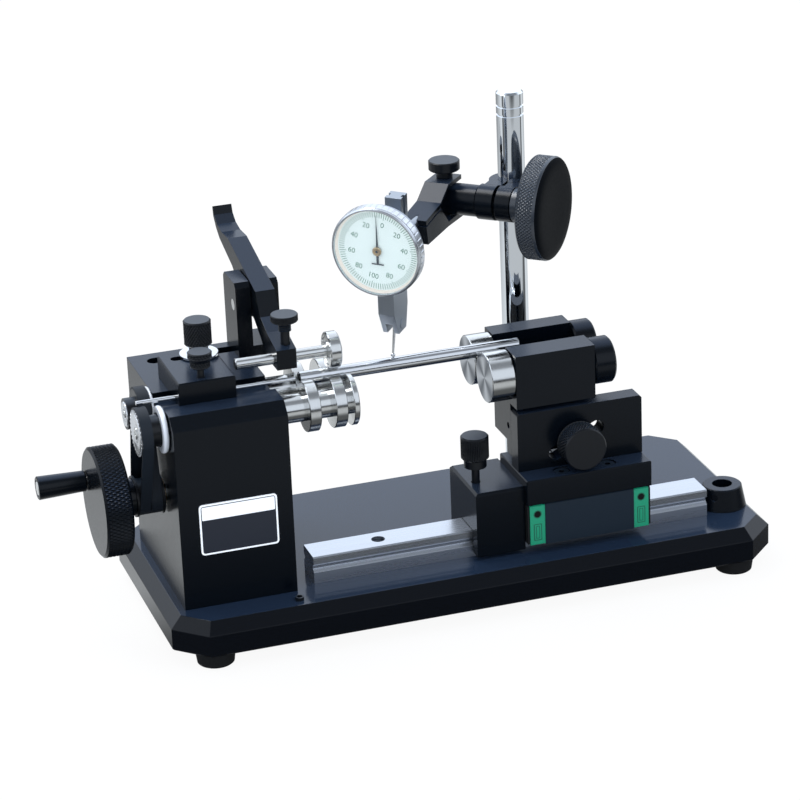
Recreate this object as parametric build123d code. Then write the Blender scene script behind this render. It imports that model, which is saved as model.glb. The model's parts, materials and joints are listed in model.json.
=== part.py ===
from build123d import *
import math
import os

# Every place below is measured from the front left corner of the flat top of the base plate.
# X runs right, Y runs back and Z runs up from the top of the base plate, in millimetres.

# Fits and allowances
running_fit = 0.05
slide_fit = 0.1
body_gap = 0.3
rest_gap = 0.05
overrun = 4.0
edge_break = 0.4

# Base plate and feet
base_left_margin = 8.0
base_right_margin = 14.5
base_front = -15.0
base_back = 108.0
base_thickness = 15.0
base_corner = 13.4
base_top_bevel = 5.0
base_bottom_bevel = 0.8
foot_height = 7.0
foot_top_radius = 9.0
foot_floor_radius = 8.0
foot_recess_radius = 5.0
foot_recess_depth = 4.0
foot_side_inset = 18.0
foot_row_inset = 11.0
foot_screw_radius = 2.5
foot_screw_grip = 8.0
foot_screw_head_radius = 4.5
foot_screw_head_height = 3.4

# Guide rail
rail_gap = 8.7
rail_length = 183.5
rail_y = 15.3
rail_width = 15.0
rail_height = 12.5
rail_chamfer = 0.5
rail_groove_low = 5.2
rail_groove_high = 9.1
rail_groove_depth = 1.5
rail_end_margin = 31.75
rail_pitch = 60.0
rail_screw_count = 3
rail_head_radius = 3.0
rail_screw_head_height = 3.0
rail_head_depth = 4.5
rail_screw_radius = 1.5
rail_screw_grip = 15.0
rail_screw_clearance = 0.25
hex_socket_radius = 1.3
hex_socket_depth = 1.4

# Headstock block
head_left = 3.0
head_width = 50.0
head_front = 4.0
head_back = 84.0
spindle_cover = 8.9
head_bevel = 5.3
head_channel_front = 22.3
head_channel_back = 38.4
head_channel_depth = 3.5
head_slot_inset = 7.0
head_slot_width = 6.5
head_slot_y = 75.0
head_slot_depth = 6.5
head_screw_radius = 2.5
head_screw_head_radius = 4.25
head_screw_head_height = 5.0
head_screw_grip = 11.0
head_screw_inset = 9.0
corner_screw_inset = 1.7
corner_screw_y = -4.6
corner_screw_radius = 1.0
corner_screw_head_radius = 1.9
corner_screw_head_height = 1.6
corner_screw_grip = 4.0
plate_inset = 8.7
plate_length = 34.3
plate_low = 24.3
plate_height = 23.2
plate_thickness = 0.5

# Spindles with their disc pairs, the rear disc of each pair a little to the right
front_axis_y = 19.1
rear_axis_y = 41.85
spindle_rise = 12.3
spindle_radius = 4.0
nose_radius = 6.2
roller_radius = 11.1
disc_start = 11.0
disc_count = 2
disc_width = 5.1
disc_pitch = 11.8
rear_disc_shift = 0.9
end_ring_start = 19.8
end_ring_width = 2.4
disc_bevel = 0.3
bush_radius = 5.5
bush_length = 14.0
drive_bush_radius = 6.0
drive_bush_length = 25.0

# Timing pulleys and belts
tooth_pitch = 2.032
spindle_teeth = 32
drive_teeth = 24
tooth_drop = 0.255
belt_width = 4.8
belt_thickness = 0.75
belt_fit = 0.1
front_belt_offset = 12.2
rear_belt_offset = 7.0
belt_side_gap = 0.1
hub_radius = 6.8
flange_radius = 9.9
flange_thickness = 1.5
rear_hub_offset = 11.7
drive_drop = 33.6
drive_flange_radius = 9.0
drive_flange_thickness = 1.0

# Handwheel and crank handle
wheel_offset = 30.3
wheel_width = 12.0
wheel_radius = 24.0
wheel_bevel = 0.8
wheel_wall = 3.0
wheel_hub_radius = 8.0
drive_shaft_radius = 4.0
handle_throw = 14.625
handle_lift = 4.5
handle_length = 21.3
handle_root_radius = 4.5
handle_end_radius = 5.15
stud_radius = 2.0
stud_grip = 8.0
stud_head_radius = 3.3
stud_head_height = 2.0

# Test bar
bar_radius = 3.0
bar_gap = 12.7
bar_lap = 8.8

# Column and its sockets
socket_height = 10.0
socket_foot_radius = 10.75
socket_top_radius = 8.7
socket_bore_radius = 4.5
socket_grip_radius = 4.0
socket_grip = 8.0
socket_rail_gap = 0.55
front_socket_y = 17.0
column_offset = 20.1
column_y = 65.0
column_radius = 6.0
column_reach = 47.1
column_chamfer = 0.9
column_groove_drops = (6.5, 10.5)
column_groove_width = 1.0
column_groove_depth = 0.5
socket_screw_radius = 1.5
socket_screw_z = 6.4
socket_screw_setback = 2.0
socket_screw_angle = 225.0

# Lever fork and lever
fork_lap = 4.7
fork_width = 19.3
fork_front = 62.5
fork_back = 82.5
fork_rise = 11.0
fork_bevel = 2.0
lever_inset = 7.0
lever_width = 8.7
lever_y = 68.1
lever_rise_above_head = 23.2
lever_pin_radius = 2.5
lever_boss_radius = 6.4
fork_web_rise = 4.8
tongue_length = 17.0
tongue_drop = 3.0
tongue_width = 6.0
tongue_screw_inset = 12.0
tongue_screw_radius = 1.5
tongue_screw_head_radius = 2.6
tongue_screw_head_height = 1.8
tongue_screw_grip = 8.0
lever_nose_y = 25.5
lever_nose_rise = 5.0
lever_nose_drop = 3.9
lever_nose_back = 36.5

# Points of the lever's outline, from its pivot
lever_knee = (-28.1, -4.3)
lever_throat = (-19.0, -0.5)
lever_shoulder = (-12.7, 9.1)
lever_crest = (29.5, 19.8)
lever_hump = (40.3, 19.3)
lever_rise = (47.5, 20.6)
lever_tip_front = (52.1, 23.6)
lever_tip = (53.6, 27.2)
lever_tip_back = (54.3, 26.8)
lever_tip_under = (53.5, 22.6)
lever_under_curl = (49.5, 18.3)
lever_under_rear = (44.4, 15.0)
lever_under_mid = (24.9, 8.6)
lever_under_boss = (6.5, -2.8)
lever_under_front = (-8.1, -4.9)
lever_under_throat = (-21.1, -12.4)

# Pressure rod and bearing
press_rod_radius = 2.5
press_rod_lap = 15.1
press_rod_tip = 1.6
bearing_gap = 25.6
bearing_width = 5.0
bearing_radius = 8.0
bearing_inner_radius = 4.0
bearing_ring_wall = 1.5
bearing_shield_setback = 0.4
bearing_shield_thickness = 0.4
snap_ring_radius = 3.6
snap_ring_width = 0.8
lever_screw_inset = 5.5
lever_screw_y = 30.5
lever_screw_radius = 2.0
lever_collar_rise = 11.8
lever_collar_radius = 2.8
lever_collar_height = 4.5
lever_knob_radius = 6.0
lever_knob_height = 3.2

# Stop holder and stop rod
holder_inset = 7.2
holder_rod_gap = 2.6
holder_front = 19.7
holder_back = 55.4
holder_thickness = 9.7
holder_bevel = 0.6
holder_slot_inset = 4.3
holder_slot_margin = 3.7
holder_slot_half = 2.3
thumb_inset = 8.2
thumb_y = 48.9
thumb_stem_radius = 2.0
thumb_grip = 7.0
thumb_washer_radius = 8.5
thumb_washer_thickness = 1.3
thumb_collar_radius = 4.2
thumb_knob_rise = 5.2
thumb_knob_radius = 6.1
thumb_knob_height = 11.3
stop_rod_radius = 1.0
stop_rod_y = 24.3
stop_rod_rise = 2.3
stop_rod_overhang = 10.5
stop_rod_reach = 9.5
small_knob_inset = 11.2
small_stem_radius = 1.5
small_knob_rise = 4.5
small_knob_height = 7.2
small_knob_radius = 5.3
small_knob_low_radius = 4.3

# Carriage
carriage_place = 103.3
carriage_length = 41.5
cap_length = 7.0
seal_thickness = 1.0
carriage_width = 34.0
carriage_bottom = 4.5
carriage_top = 24.0
carriage_chamfer = 0.8
cap_inset = 0.3
seal_inset = 0.7
cap_hole_radius = 1.5
cap_hole_z = 19.5
cap_hole_spread = 11.5
plate_screw_spread = 11.3
plate_screw_inset = 10.0
plate_screw_radius = 2.0
plate_screw_head_radius = 3.5
plate_screw_head_height = 4.0
plate_screw_grip = 6.0
tail_plate_lip = 0.5
tail_plate_front = -2.0
tail_plate_back = 33.0
tail_plate_thickness = 11.6
bracket_screw_inset = 7.0
bracket_screw_grip = 9.0
bracket_front = 9.2
bracket_back = 17.7
bracket_rise = 16.4
bracket_corner = 1.0
slot_run = 19.3
slot_rise = 9.0
slot_drop = 4.4
slot_radius = 3.3

# Rail clamp
clamp_length = 22.2
clamp_front = 1.8
clamp_back = 37.0
clamp_bottom = 2.0
clamp_rise = 7.8
clamp_bevel = 1.0
clamp_screw_inset = 4.7
clamp_screw_radius = 2.0
clamp_collar_rise = 7.6
clamp_collar_radius = 5.0
clamp_collar_height = 3.8
clamp_knob_height = 10.8
clamp_knob_radius = 6.25

# Tail head
tail_length = 36.5
tail_cover = 11.3
tail_shoulder_rise = 19.0
tail_upright_back = 22.3
tail_rear_front = 39.0
tail_rear_back = 49.2
tail_rear_rise = 12.0
tail_block_rise = 10.4
tail_tongue_length = 6.0
tail_tongue_back = 23.5
tail_channel_step = 1.0
tail_shaft_radius = 2.0
tail_roller_length = 10.6
tail_roller_gap = 0.4
tail_roller_dish = 0.6
tail_roller_rim = 2.4
tail_cap_length = 10.0
tail_cap_radius = 10.35
tail_cap_bevel = 0.8
tail_knob_inset = 27.2
tail_knob_clearance = 0.9
tail_knob_front = -2.5
tail_knob_back = 7.9
tail_knob_radius = 9.8
tail_knob_bevel = 0.6
tail_knob_neck_radius = 5.0
tail_stud_radius = 2.5
tail_stud_back = 30.0
set_screw_radius = 1.5
set_screw_rise = 7.4
set_screw_y = 21.0
set_screw_depth = 6.0

# Post clamp, measured from the column along the clamp screw
clamp_angle = -42.0
post_clamp_rise = 0.3
strap_radius = 10.0
strap_height = 13.0
screw_offset = 15.0
cheek_radius = 7.8
slit_half = 0.7
left_cheek_end = 8.5
right_cheek_end = 7.5
bolt_radius = 3.0
bolt_end = -15.0
neck_start = 7.8
neck_end = 16.5
neck_radius = 7.4
big_knob_start = 16.5
big_knob_rim_end = 26.0
big_knob_dome = 2.4
big_knob_radius = 24.0
big_knob_edge = 2.6
arm_start = 8.8
arm_radius = 7.0
arm_end = 32.1
swivel_offset = 25.6
stud_bore_radius = 2.0

# Indicator holder, measured from the swivel
jaw_width = 11.4
jaw_thickness = 2.0
upper_jaw_top = 9.55
upper_jaw_rear = 5.4
upper_jaw_bend = 8.5
upper_jaw_drop = (17.8, 3.7)
upper_jaw_end = (34.0, 0.9)
lower_jaw_path = (
    (-6.0, -9.8),
    (-6.0, -7.3),
    (10.0, -7.3),
    (17.2, 0.9),
    (34.0, -1.9),
    (32.5, -10.3),
    (10.3, -9.4),
)
jaw_grip_reach = 30.5
holder_knob_bottom = 13.0
holder_knob_height = 4.5
holder_knob_radius = 6.9
holder_collar_radius = 3.6

# Dial indicator, measured from the centre of its glass
dial_offset_x = 79.2
dial_offset_y = 49.7
dial_rise = 57.3
dial_azimuth = -40.6
dial_tilt = -4.4
dial_roll = -1.9
bezel_radius = 20.4
bezel_depth = 5.6
bezel_lip_radius = 19.0
bezel_seat_radius = 17.9
bezel_bevel = 0.4
face_depth = 2.7
face_thickness = 0.5
glass_depth = 0.3
glass_thickness = 0.7
pointer_depth = 2.0
pointer_thickness = 0.3
pointer_length = 16.4
pointer_tail = 6.3
pointer_half = 0.45
pointer_cross_half = 2.7
pointer_hub_radius = 1.9
pointer_hub_thickness = 0.6
arbor_radius = 0.5
case_radius = 18.6
case_front = 5.9
case_back = 9.0
case_spigot_radius = 17.6
case_spigot_front = 3.7
indicator_half_width = 3.7
indicator_back = 24.0
indicator_top = 9.0
indicator_bottom = -33.0
lug_low = 5.0
lug_high = 16.5
lug_front = 21.0
lug_back = 28.0
lug_groove = 1.1
nose_bottom = -43.5
nose_front = 13.5
nose_back = 21.5
pivot_drop = 40.3
pivot_depth = 17.5
pivot_cap_radius = 2.3
pivot_cap_height = 0.3
stylus_slot_half = 1.6
stylus_eye_radius = 1.3
stylus_eye_half = 1.3
stylus_pin_radius = 0.45
stylus_ball_offset = 10.6
stylus_ball_radius = 1.0
stylus_root_radius = 0.75
stylus_tip_radius = 0.45

# Shares of a length
sunk_share = 0.5

# Sizes that follow from the ones above
head_right = head_left + head_width
rail_left = head_right + rail_gap
rail_right = rail_left + rail_length
rail_front = rail_y - rail_width / 2
rail_back = rail_y + rail_width / 2
front_socket_x = rail_right + socket_rail_gap + socket_foot_radius
base_left = head_left - base_left_margin
base_right = front_socket_x + base_right_margin
foot_left = base_left + foot_side_inset
foot_right = base_right - foot_side_inset
foot_front = base_front + foot_row_inset
foot_rear = base_back - foot_row_inset

# Carriage and tail, from the rail upwards
carriage_left = rail_left + carriage_place
carriage_right = carriage_left + carriage_length
cap_left = carriage_left - cap_length
cap_right = carriage_right + cap_length
seal_left = cap_left - seal_thickness
seal_right = cap_right + seal_thickness
tail_plate_left = seal_left - body_gap
tail_plate_right = seal_right + tail_plate_lip
tail_plate_top = carriage_top + tail_plate_thickness
tail_left = tail_plate_left + body_gap
tail_right = tail_left + tail_length
tail_roller_right = tail_left - tail_roller_gap
tail_roller_left = tail_roller_right - tail_roller_length
tail_cap_left = tail_right + body_gap
tail_cap_right = tail_cap_left + tail_cap_length
tail_knob_x = tail_left + tail_knob_inset
tail_knob_z = tail_plate_top + tail_knob_clearance + tail_knob_radius
slot_low = (tail_knob_x - slot_run / 2, tail_knob_z - slot_drop)
slot_high = (tail_knob_x + slot_run / 2, slot_low[1] + slot_rise)
bracket_left = tail_plate_left + body_gap
bracket_top = tail_knob_z + bracket_rise
tail_block_bottom = tail_plate_top + tail_block_rise
tail_tongue_bottom = tail_block_bottom - tail_tongue_length
tail_rear_bottom = tail_block_bottom + tail_rear_rise
tail_shoulder = tail_block_bottom + tail_shoulder_rise
tail_channel_floor = tail_shoulder + tail_channel_step
set_screw_z = tail_block_bottom + set_screw_rise
clamp_right = tail_plate_left
clamp_left = clamp_right - clamp_length
clamp_screw_x = clamp_left + clamp_screw_inset
clamp_top = carriage_top + clamp_rise
clamp_collar_bottom = clamp_top + clamp_collar_rise
clamp_knob_bottom = clamp_collar_bottom + clamp_collar_height
clamp_knob_top = clamp_knob_bottom + clamp_knob_height

# Headstock, spindles and drive, at the height of the tail's rollers
spindle_z = tail_channel_floor + spindle_rise
tail_top = spindle_z + tail_cover
head_height = spindle_z + spindle_cover
head_slot_left = head_left + head_slot_inset
corner_screw_x = head_right - corner_screw_inset
plate_left = head_left + plate_inset
plate_right = plate_left + plate_length
plate_high = plate_low + plate_height
front_disc_left = head_right + disc_start
rear_disc_left = front_disc_left + rear_disc_shift
end_ring_left = front_disc_left + end_ring_start
spindle_nose_end = end_ring_left + end_ring_width
spindle_pulley_radius = spindle_teeth * tooth_pitch / math.pi / 2 - tooth_drop
drive_pulley_radius = drive_teeth * tooth_pitch / math.pi / 2 - tooth_drop
half_centres = (rear_axis_y - front_axis_y) / 2
drive_y = front_axis_y + half_centres
drive_z = spindle_z - drive_drop
front_belt_left = head_left - front_belt_offset
rear_belt_left = head_left - rear_belt_offset
rear_hub_left = head_left - rear_hub_offset
wheel_left = head_left - wheel_offset
wheel_right = wheel_left + wheel_width
shaft_left = wheel_left + wheel_wall
handle_y = drive_y + handle_throw
handle_z = drive_z + handle_lift
handle_end = wheel_left - handle_length

# Test bar, lever, pressure rod and bearing
bar_y = drive_y
bar_reach = roller_radius + bar_radius + rest_gap
bar_z = spindle_z + math.sqrt(bar_reach**2 - half_centres**2)
bar_left = head_right + bar_gap
bar_right = tail_left + bar_lap
press_rod_z = bar_z + bar_radius + bearing_radius + rest_gap
bearing_left = head_right + bearing_gap
bearing_right = bearing_left + bearing_width
press_rod_left = head_right - press_rod_lap
press_rod_right = bearing_right + press_rod_tip
fork_left = head_right - fork_lap
fork_right = fork_left + fork_width
fork_web_top = head_height + fork_web_rise
lever_left = fork_left + lever_inset
lever_right = lever_left + lever_width
lever_z = head_height + lever_rise_above_head
fork_top = lever_z + fork_rise
tongue_left = head_right - tongue_length
tongue_top = head_height - tongue_drop
tongue_screw_x = head_right - tongue_screw_inset
lever_nose_top = press_rod_z + lever_nose_rise
lever_nose_bottom = press_rod_z - lever_nose_drop
lever_screw_x = lever_left + lever_screw_inset
lever_collar_bottom = press_rod_z + lever_collar_rise
lever_knob_bottom = lever_collar_bottom + lever_collar_height
lever_points = (
    lever_knee,
    lever_throat,
    lever_shoulder,
    lever_crest,
    lever_hump,
    lever_rise,
    lever_tip_front,
    lever_tip,
    lever_tip_back,
    lever_tip_under,
    lever_under_curl,
    lever_under_rear,
    lever_under_mid,
    lever_under_boss,
    lever_under_front,
    lever_under_throat,
)
rear_reach = lever_y + lever_tip_back[0]

# Stop holder and stop rod
holder_left = head_left + holder_inset
holder_right = press_rod_left - holder_rod_gap
holder_bottom = head_height + slide_fit
holder_top = holder_bottom + holder_thickness
holder_slot_left = holder_left + holder_slot_inset
holder_slot_right = holder_right - holder_slot_margin
washer_bottom = holder_top + body_gap
thumb_x = holder_right - thumb_inset
thumb_stem_bottom = head_height - thumb_grip
thumb_knob_bottom = holder_top + thumb_knob_rise
thumb_knob_top = thumb_knob_bottom + thumb_knob_height
stop_rod_z = holder_bottom + stop_rod_rise
stop_rod_left = head_left - stop_rod_overhang
stop_rod_right = head_right + stop_rod_reach
small_knob_x = holder_left + small_knob_inset
small_knob_bottom = holder_top + small_knob_rise
small_knob_top = small_knob_bottom + small_knob_height

# Indicator stand and indicator
column_x = tail_left + column_offset
dial_x = column_x - dial_offset_x
dial_y = column_y - dial_offset_y
dial_z = bar_z + dial_rise
post_clamp_z = dial_z + post_clamp_rise
column_top = post_clamp_z + column_reach
stylus_ball_x = dial_x + stylus_ball_offset
stylus_ball_z = bar_z + bar_radius + stylus_ball_radius + rest_gap

# Directions and frames
ALONG_X = (1, 0, 0)
ALONG_Y = (0, 1, 0)
ALONG_Z = (0, 0, 1)
clamp_turn = math.radians(clamp_angle)
clamp_axis = (math.cos(clamp_turn), math.sin(clamp_turn), 0)
clamp_frame = Plane((column_x, column_y, post_clamp_z), x_dir=clamp_axis, z_dir=ALONG_Z)
dial_turn = math.radians(dial_azimuth)
dial_lean = math.radians(dial_tilt)
dial_twist = math.radians(dial_roll)
dial_level_share = math.cos(dial_twist)
dial_rise_share = math.sin(dial_lean) * math.sin(dial_twist)
dial_right = (
    math.cos(dial_turn) * dial_level_share - math.sin(dial_turn) * dial_rise_share,
    math.sin(dial_turn) * dial_level_share + math.cos(dial_turn) * dial_rise_share,
    math.cos(dial_lean) * math.sin(dial_twist),
)
dial_front = (
    math.sin(dial_turn) * math.cos(dial_lean),
    -math.cos(dial_turn) * math.cos(dial_lean),
    math.sin(dial_lean),
)
dial_frame = Plane((dial_x, dial_y, dial_z), x_dir=dial_right, z_dir=dial_front)
swivel_frame = clamp_frame * Pos(-swivel_offset, -screw_offset, 0)


def block(x_low, x_high, y_low, y_high, z_low, z_high):
    body = Box(x_high - x_low, y_high - y_low, z_high - z_low)
    return Pos((x_low + x_high) / 2, (y_low + y_high) / 2, (z_low + z_high) / 2) * body


def rod_x(x_low, x_high, y, z, radius):
    body = Cylinder(radius, x_high - x_low)
    return Pos((x_low + x_high) / 2, y, z) * Rot(0, 90, 0) * body


def rod_y(x, y_low, y_high, z, radius):
    body = Cylinder(radius, y_high - y_low)
    return Pos(x, (y_low + y_high) / 2, z) * Rot(90, 0, 0) * body


def rod_z(x, y, z_low, z_high, radius):
    return Pos(x, y, (z_low + z_high) / 2) * Cylinder(radius, z_high - z_low)


def rod_between(start, end, radius):
    reach = Vector(*end) - Vector(*start)
    frame = Plane(start, z_dir=reach)
    return frame * Pos(0, 0, reach.length / 2) * Cylinder(radius, reach.length)


def cone_between(start, end, start_radius, end_radius):
    reach = Vector(*end) - Vector(*start)
    frame = Plane(start, z_dir=reach)
    return frame * Pos(0, 0, reach.length / 2) * Cone(start_radius, end_radius, reach.length)


def prism_x(outline, x_low, x_high):
    face = Plane.YZ.offset(x_low) * Polygon(*outline, align=None)
    return extrude(face, x_high - x_low, dir=ALONG_X)


def prism_y(outline, y_low, y_high):
    frame = Plane((0, y_low, 0), x_dir=ALONG_X, z_dir=(0, -1, 0))
    return extrude(frame * Polygon(*outline, align=None), y_high - y_low, dir=ALONG_Y)


def ends(body, axis):
    faces = body.faces().sort_by(axis)
    return faces[0].edges() + faces[-1].edges()


def screw_down(x, y, seat, head_radius, head_height, shank_radius, grip):
    head = rod_z(x, y, seat, seat + head_height, head_radius)
    socket_floor = seat + head_height - hex_socket_depth
    head -= rod_z(x, y, socket_floor, seat + head_height + overrun, hex_socket_radius)
    return head + rod_z(x, y, seat - grip, seat, shank_radius)


def screw_up(x, y, seat, head_radius, head_height, shank_radius, grip):
    head = rod_z(x, y, seat - head_height, seat, head_radius)
    socket_top = seat - head_height + hex_socket_depth
    head -= rod_z(x, y, seat - head_height - overrun, socket_top, hex_socket_radius)
    return head + rod_z(x, y, seat, seat + grip, shank_radius)


def foot_places():
    return [(x, y) for x in (foot_left, foot_right) for y in (foot_front, foot_rear)]


def rail_screw_places():
    first = rail_left + rail_end_margin
    return [(first + step * rail_pitch, rail_y) for step in range(rail_screw_count)]


def head_screw_places():
    columns = (head_left + head_screw_inset, head_right - head_screw_inset)
    rows = (head_front + head_screw_inset, head_back - head_screw_inset)
    return [(x, y) for x in columns for y in rows]


def socket_places():
    return [(front_socket_x, front_socket_y), (column_x, column_y)]


def make_base_plate():
    body = block(base_left, base_right, base_front, base_back, -base_thickness, 0)
    body = chamfer(body.edges().filter_by(Axis.Z), base_corner)
    body = chamfer(body.faces().sort_by(Axis.Z)[-1].edges(), base_top_bevel)
    body = chamfer(body.faces().sort_by(Axis.Z)[0].edges(), base_bottom_bevel)
    for x, y in foot_places():
        hole_top = foot_screw_grip - base_thickness
        body -= rod_z(x, y, -base_thickness - overrun, hole_top, foot_screw_radius + running_fit)
    for x, y in rail_screw_places():
        depth = rail_height - rail_head_depth - rail_screw_grip
        body -= rod_z(x, y, depth - body_gap, overrun, rail_screw_radius + running_fit)
    head_seat = head_screw_head_height - base_thickness
    head_bore = head_screw_head_radius + rail_screw_clearance
    for x, y in head_screw_places():
        body -= rod_z(x, y, head_seat, overrun, head_screw_radius + rail_screw_clearance)
        body -= rod_z(x, y, -base_thickness - overrun, head_seat, head_bore)
    for x, y in socket_places():
        body -= rod_z(x, y, -socket_grip, overrun, socket_grip_radius)
    body -= rod_z(corner_screw_x, corner_screw_y, -corner_screw_grip, overrun, corner_screw_radius)
    return body


def make_rubber_feet():
    feet = []
    for x, y in foot_places():
        low = -base_thickness - foot_height
        foot = Pos(x, y, low + foot_height / 2) * Cone(foot_floor_radius, foot_top_radius, foot_height)
        foot = chamfer(foot.faces().sort_by(Axis.Z)[0].edges(), edge_break)
        foot -= rod_z(x, y, low - overrun, low + foot_recess_depth, foot_recess_radius)
        foot -= rod_z(x, y, low, overrun - base_thickness, foot_screw_radius)
        feet.append(foot)
    return Compound(children=feet)


def make_socket_screw(x, y):
    turn = math.radians(socket_screw_angle)
    near = socket_bore_radius
    far = socket_foot_radius - socket_screw_setback
    start = (x + near * math.cos(turn), y + near * math.sin(turn), socket_screw_z)
    end = (x + far * math.cos(turn), y + far * math.sin(turn), socket_screw_z)
    return rod_between(start, end, socket_screw_radius)


def make_fixing_screws():
    screws = []
    foot_seat = foot_recess_depth - foot_height - base_thickness
    foot_grip = foot_height - foot_recess_depth + foot_screw_grip
    for x, y in foot_places():
        sizes = (foot_screw_head_radius, foot_screw_head_height, foot_screw_radius, foot_grip)
        screws.append(screw_up(x, y, foot_seat, *sizes))
    head_seat = head_screw_head_height - base_thickness
    head_grip = base_thickness - head_screw_head_height + head_screw_grip
    for x, y in head_screw_places():
        sizes = (head_screw_head_radius, head_screw_head_height, head_screw_radius, head_grip)
        screws.append(screw_up(x, y, head_seat, *sizes))
    corner = (corner_screw_head_radius, corner_screw_head_height, corner_screw_radius, corner_screw_grip)
    screws.append(screw_down(corner_screw_x, corner_screw_y, 0, *corner))
    tongue_seat = tongue_top - tongue_screw_head_height
    tongue = (tongue_screw_head_radius, tongue_screw_head_height, tongue_screw_radius, tongue_screw_grip)
    screws.append(screw_down(tongue_screw_x, head_slot_y, tongue_seat, *tongue))
    for x, y in socket_places():
        screws.append(make_socket_screw(x, y))
    return Compound(children=screws)


def rail_outline():
    left = [
        (rail_front, 0),
        (rail_front, rail_groove_low),
        (rail_front + rail_groove_depth, rail_groove_low + rail_groove_depth),
        (rail_front + rail_groove_depth, rail_groove_high - rail_groove_depth),
        (rail_front, rail_groove_high),
        (rail_front, rail_height - rail_chamfer),
        (rail_front + rail_chamfer, rail_height),
    ]
    right = [(2 * rail_y - y, z) for y, z in reversed(left)]
    return left + right


def make_guide_rail():
    body = prism_x(rail_outline(), rail_left, rail_right)
    seat = rail_height - rail_head_depth
    for x, y in rail_screw_places():
        body -= rod_z(x, y, seat, rail_height + overrun, rail_head_radius)
        body -= rod_z(x, y, -overrun, seat, rail_screw_radius + rail_screw_clearance)
    return body


def make_rail_screws():
    seat = rail_height - rail_head_depth
    head_radius = rail_head_radius - rail_screw_clearance
    sizes = (head_radius, rail_screw_head_height, rail_screw_radius, rail_screw_grip)
    return Compound(children=[screw_down(x, y, seat, *sizes) for x, y in rail_screw_places()])


def spindle_axes():
    return (front_axis_y, rear_axis_y)


def make_headstock_block():
    outline = [
        (head_front, 0),
        (head_back, 0),
        (head_back, head_height),
        (head_channel_back, head_height),
        (head_channel_back, head_height - head_channel_depth),
        (head_channel_front, head_height - head_channel_depth),
        (head_channel_front, head_height),
        (head_front + head_bevel, head_height),
        (head_front, head_height - head_bevel),
    ]
    body = prism_x(outline, head_left, head_right)
    for y in spindle_axes():
        body -= rod_x(head_left - overrun, head_left + bush_length, y, spindle_z, bush_radius)
        body -= rod_x(head_right - bush_length, head_right + overrun, y, spindle_z, bush_radius)
        body -= rod_x(head_left, head_right, y, spindle_z, spindle_radius + body_gap)
    body -= rod_x(head_left - overrun, head_left + drive_bush_length, drive_y, drive_z, drive_bush_radius)
    half = head_slot_width / 2
    floor = head_height - head_slot_depth
    above = head_height + overrun
    slot_left = head_slot_left + half
    body -= rod_z(slot_left, head_slot_y, floor, above, half)
    body -= block(slot_left, head_right + overrun, head_slot_y - half, head_slot_y + half, floor, above)
    tongue_screw_end = tongue_top - tongue_screw_head_height - tongue_screw_grip
    body -= rod_z(tongue_screw_x, head_slot_y, tongue_screw_end, head_height, tongue_screw_radius)
    body -= rod_z(thumb_x, thumb_y, thumb_stem_bottom - body_gap, above, thumb_stem_radius + running_fit)
    for x, y in head_screw_places():
        body -= rod_z(x, y, -overrun, head_screw_grip, head_screw_radius)
    return body


def make_spindle_bushes():
    bushes = []
    for y in spindle_axes():
        for left in (head_left, head_right - bush_length):
            bush = rod_x(left, left + bush_length, y, spindle_z, bush_radius)
            bush -= rod_x(left - overrun, head_right + overrun, y, spindle_z, spindle_radius + running_fit)
            bushes.append(bush)
    bush = rod_x(head_left, head_left + drive_bush_length, drive_y, drive_z, drive_bush_radius)
    bush -= rod_x(head_left - overrun, head_right, drive_y, drive_z, drive_shaft_radius + running_fit)
    bushes.append(bush)
    return Compound(children=bushes)


def make_label_plate():
    return block(plate_left, plate_right, head_front - plate_thickness, head_front, plate_low, plate_high)


def loop_outline(y_top, radius_top, radius_low):
    rise = spindle_z - drive_z
    across = y_top - drive_y
    distance = math.hypot(rise, across)
    heading = math.atan2(rise, across)
    spread = math.acos((radius_low - radius_top) / distance)
    points = []
    for sign in (1, -1):
        turn = heading + sign * spread
        low = (drive_y + radius_low * math.cos(turn), drive_z + radius_low * math.sin(turn))
        top = (y_top + radius_top * math.cos(turn), spindle_z + radius_top * math.sin(turn))
        points += [low, top] if sign > 0 else [top, low]
    return points


def make_loop(y_top, left, right, grow):
    radius_top = spindle_pulley_radius + grow
    radius_low = drive_pulley_radius + grow
    body = prism_x(loop_outline(y_top, radius_top, radius_low), left, right)
    body += rod_x(left, right, y_top, spindle_z, radius_top)
    return body + rod_x(left, right, drive_y, drive_z, radius_low)


def make_belt(y_top, left):
    right = left + belt_width
    outer = make_loop(y_top, left, right, belt_fit + belt_thickness)
    return outer - make_loop(y_top, left - overrun, right + overrun, belt_fit)


def make_socket(x, y):
    body = Pos(x, y, socket_height / 2) * Cone(socket_foot_radius, socket_top_radius, socket_height)
    body = chamfer(body.faces().sort_by(Axis.Z)[-1].edges(), edge_break)
    body += rod_z(x, y, -socket_grip, 0, socket_grip_radius)
    body -= rod_z(x, y, 0, socket_height + overrun, socket_bore_radius)
    turn = math.radians(socket_screw_angle)
    far = socket_foot_radius + overrun
    end = (x + far * math.cos(turn), y + far * math.sin(turn), socket_screw_z)
    return body - rod_between((x, y, socket_screw_z), end, socket_screw_radius)


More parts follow.
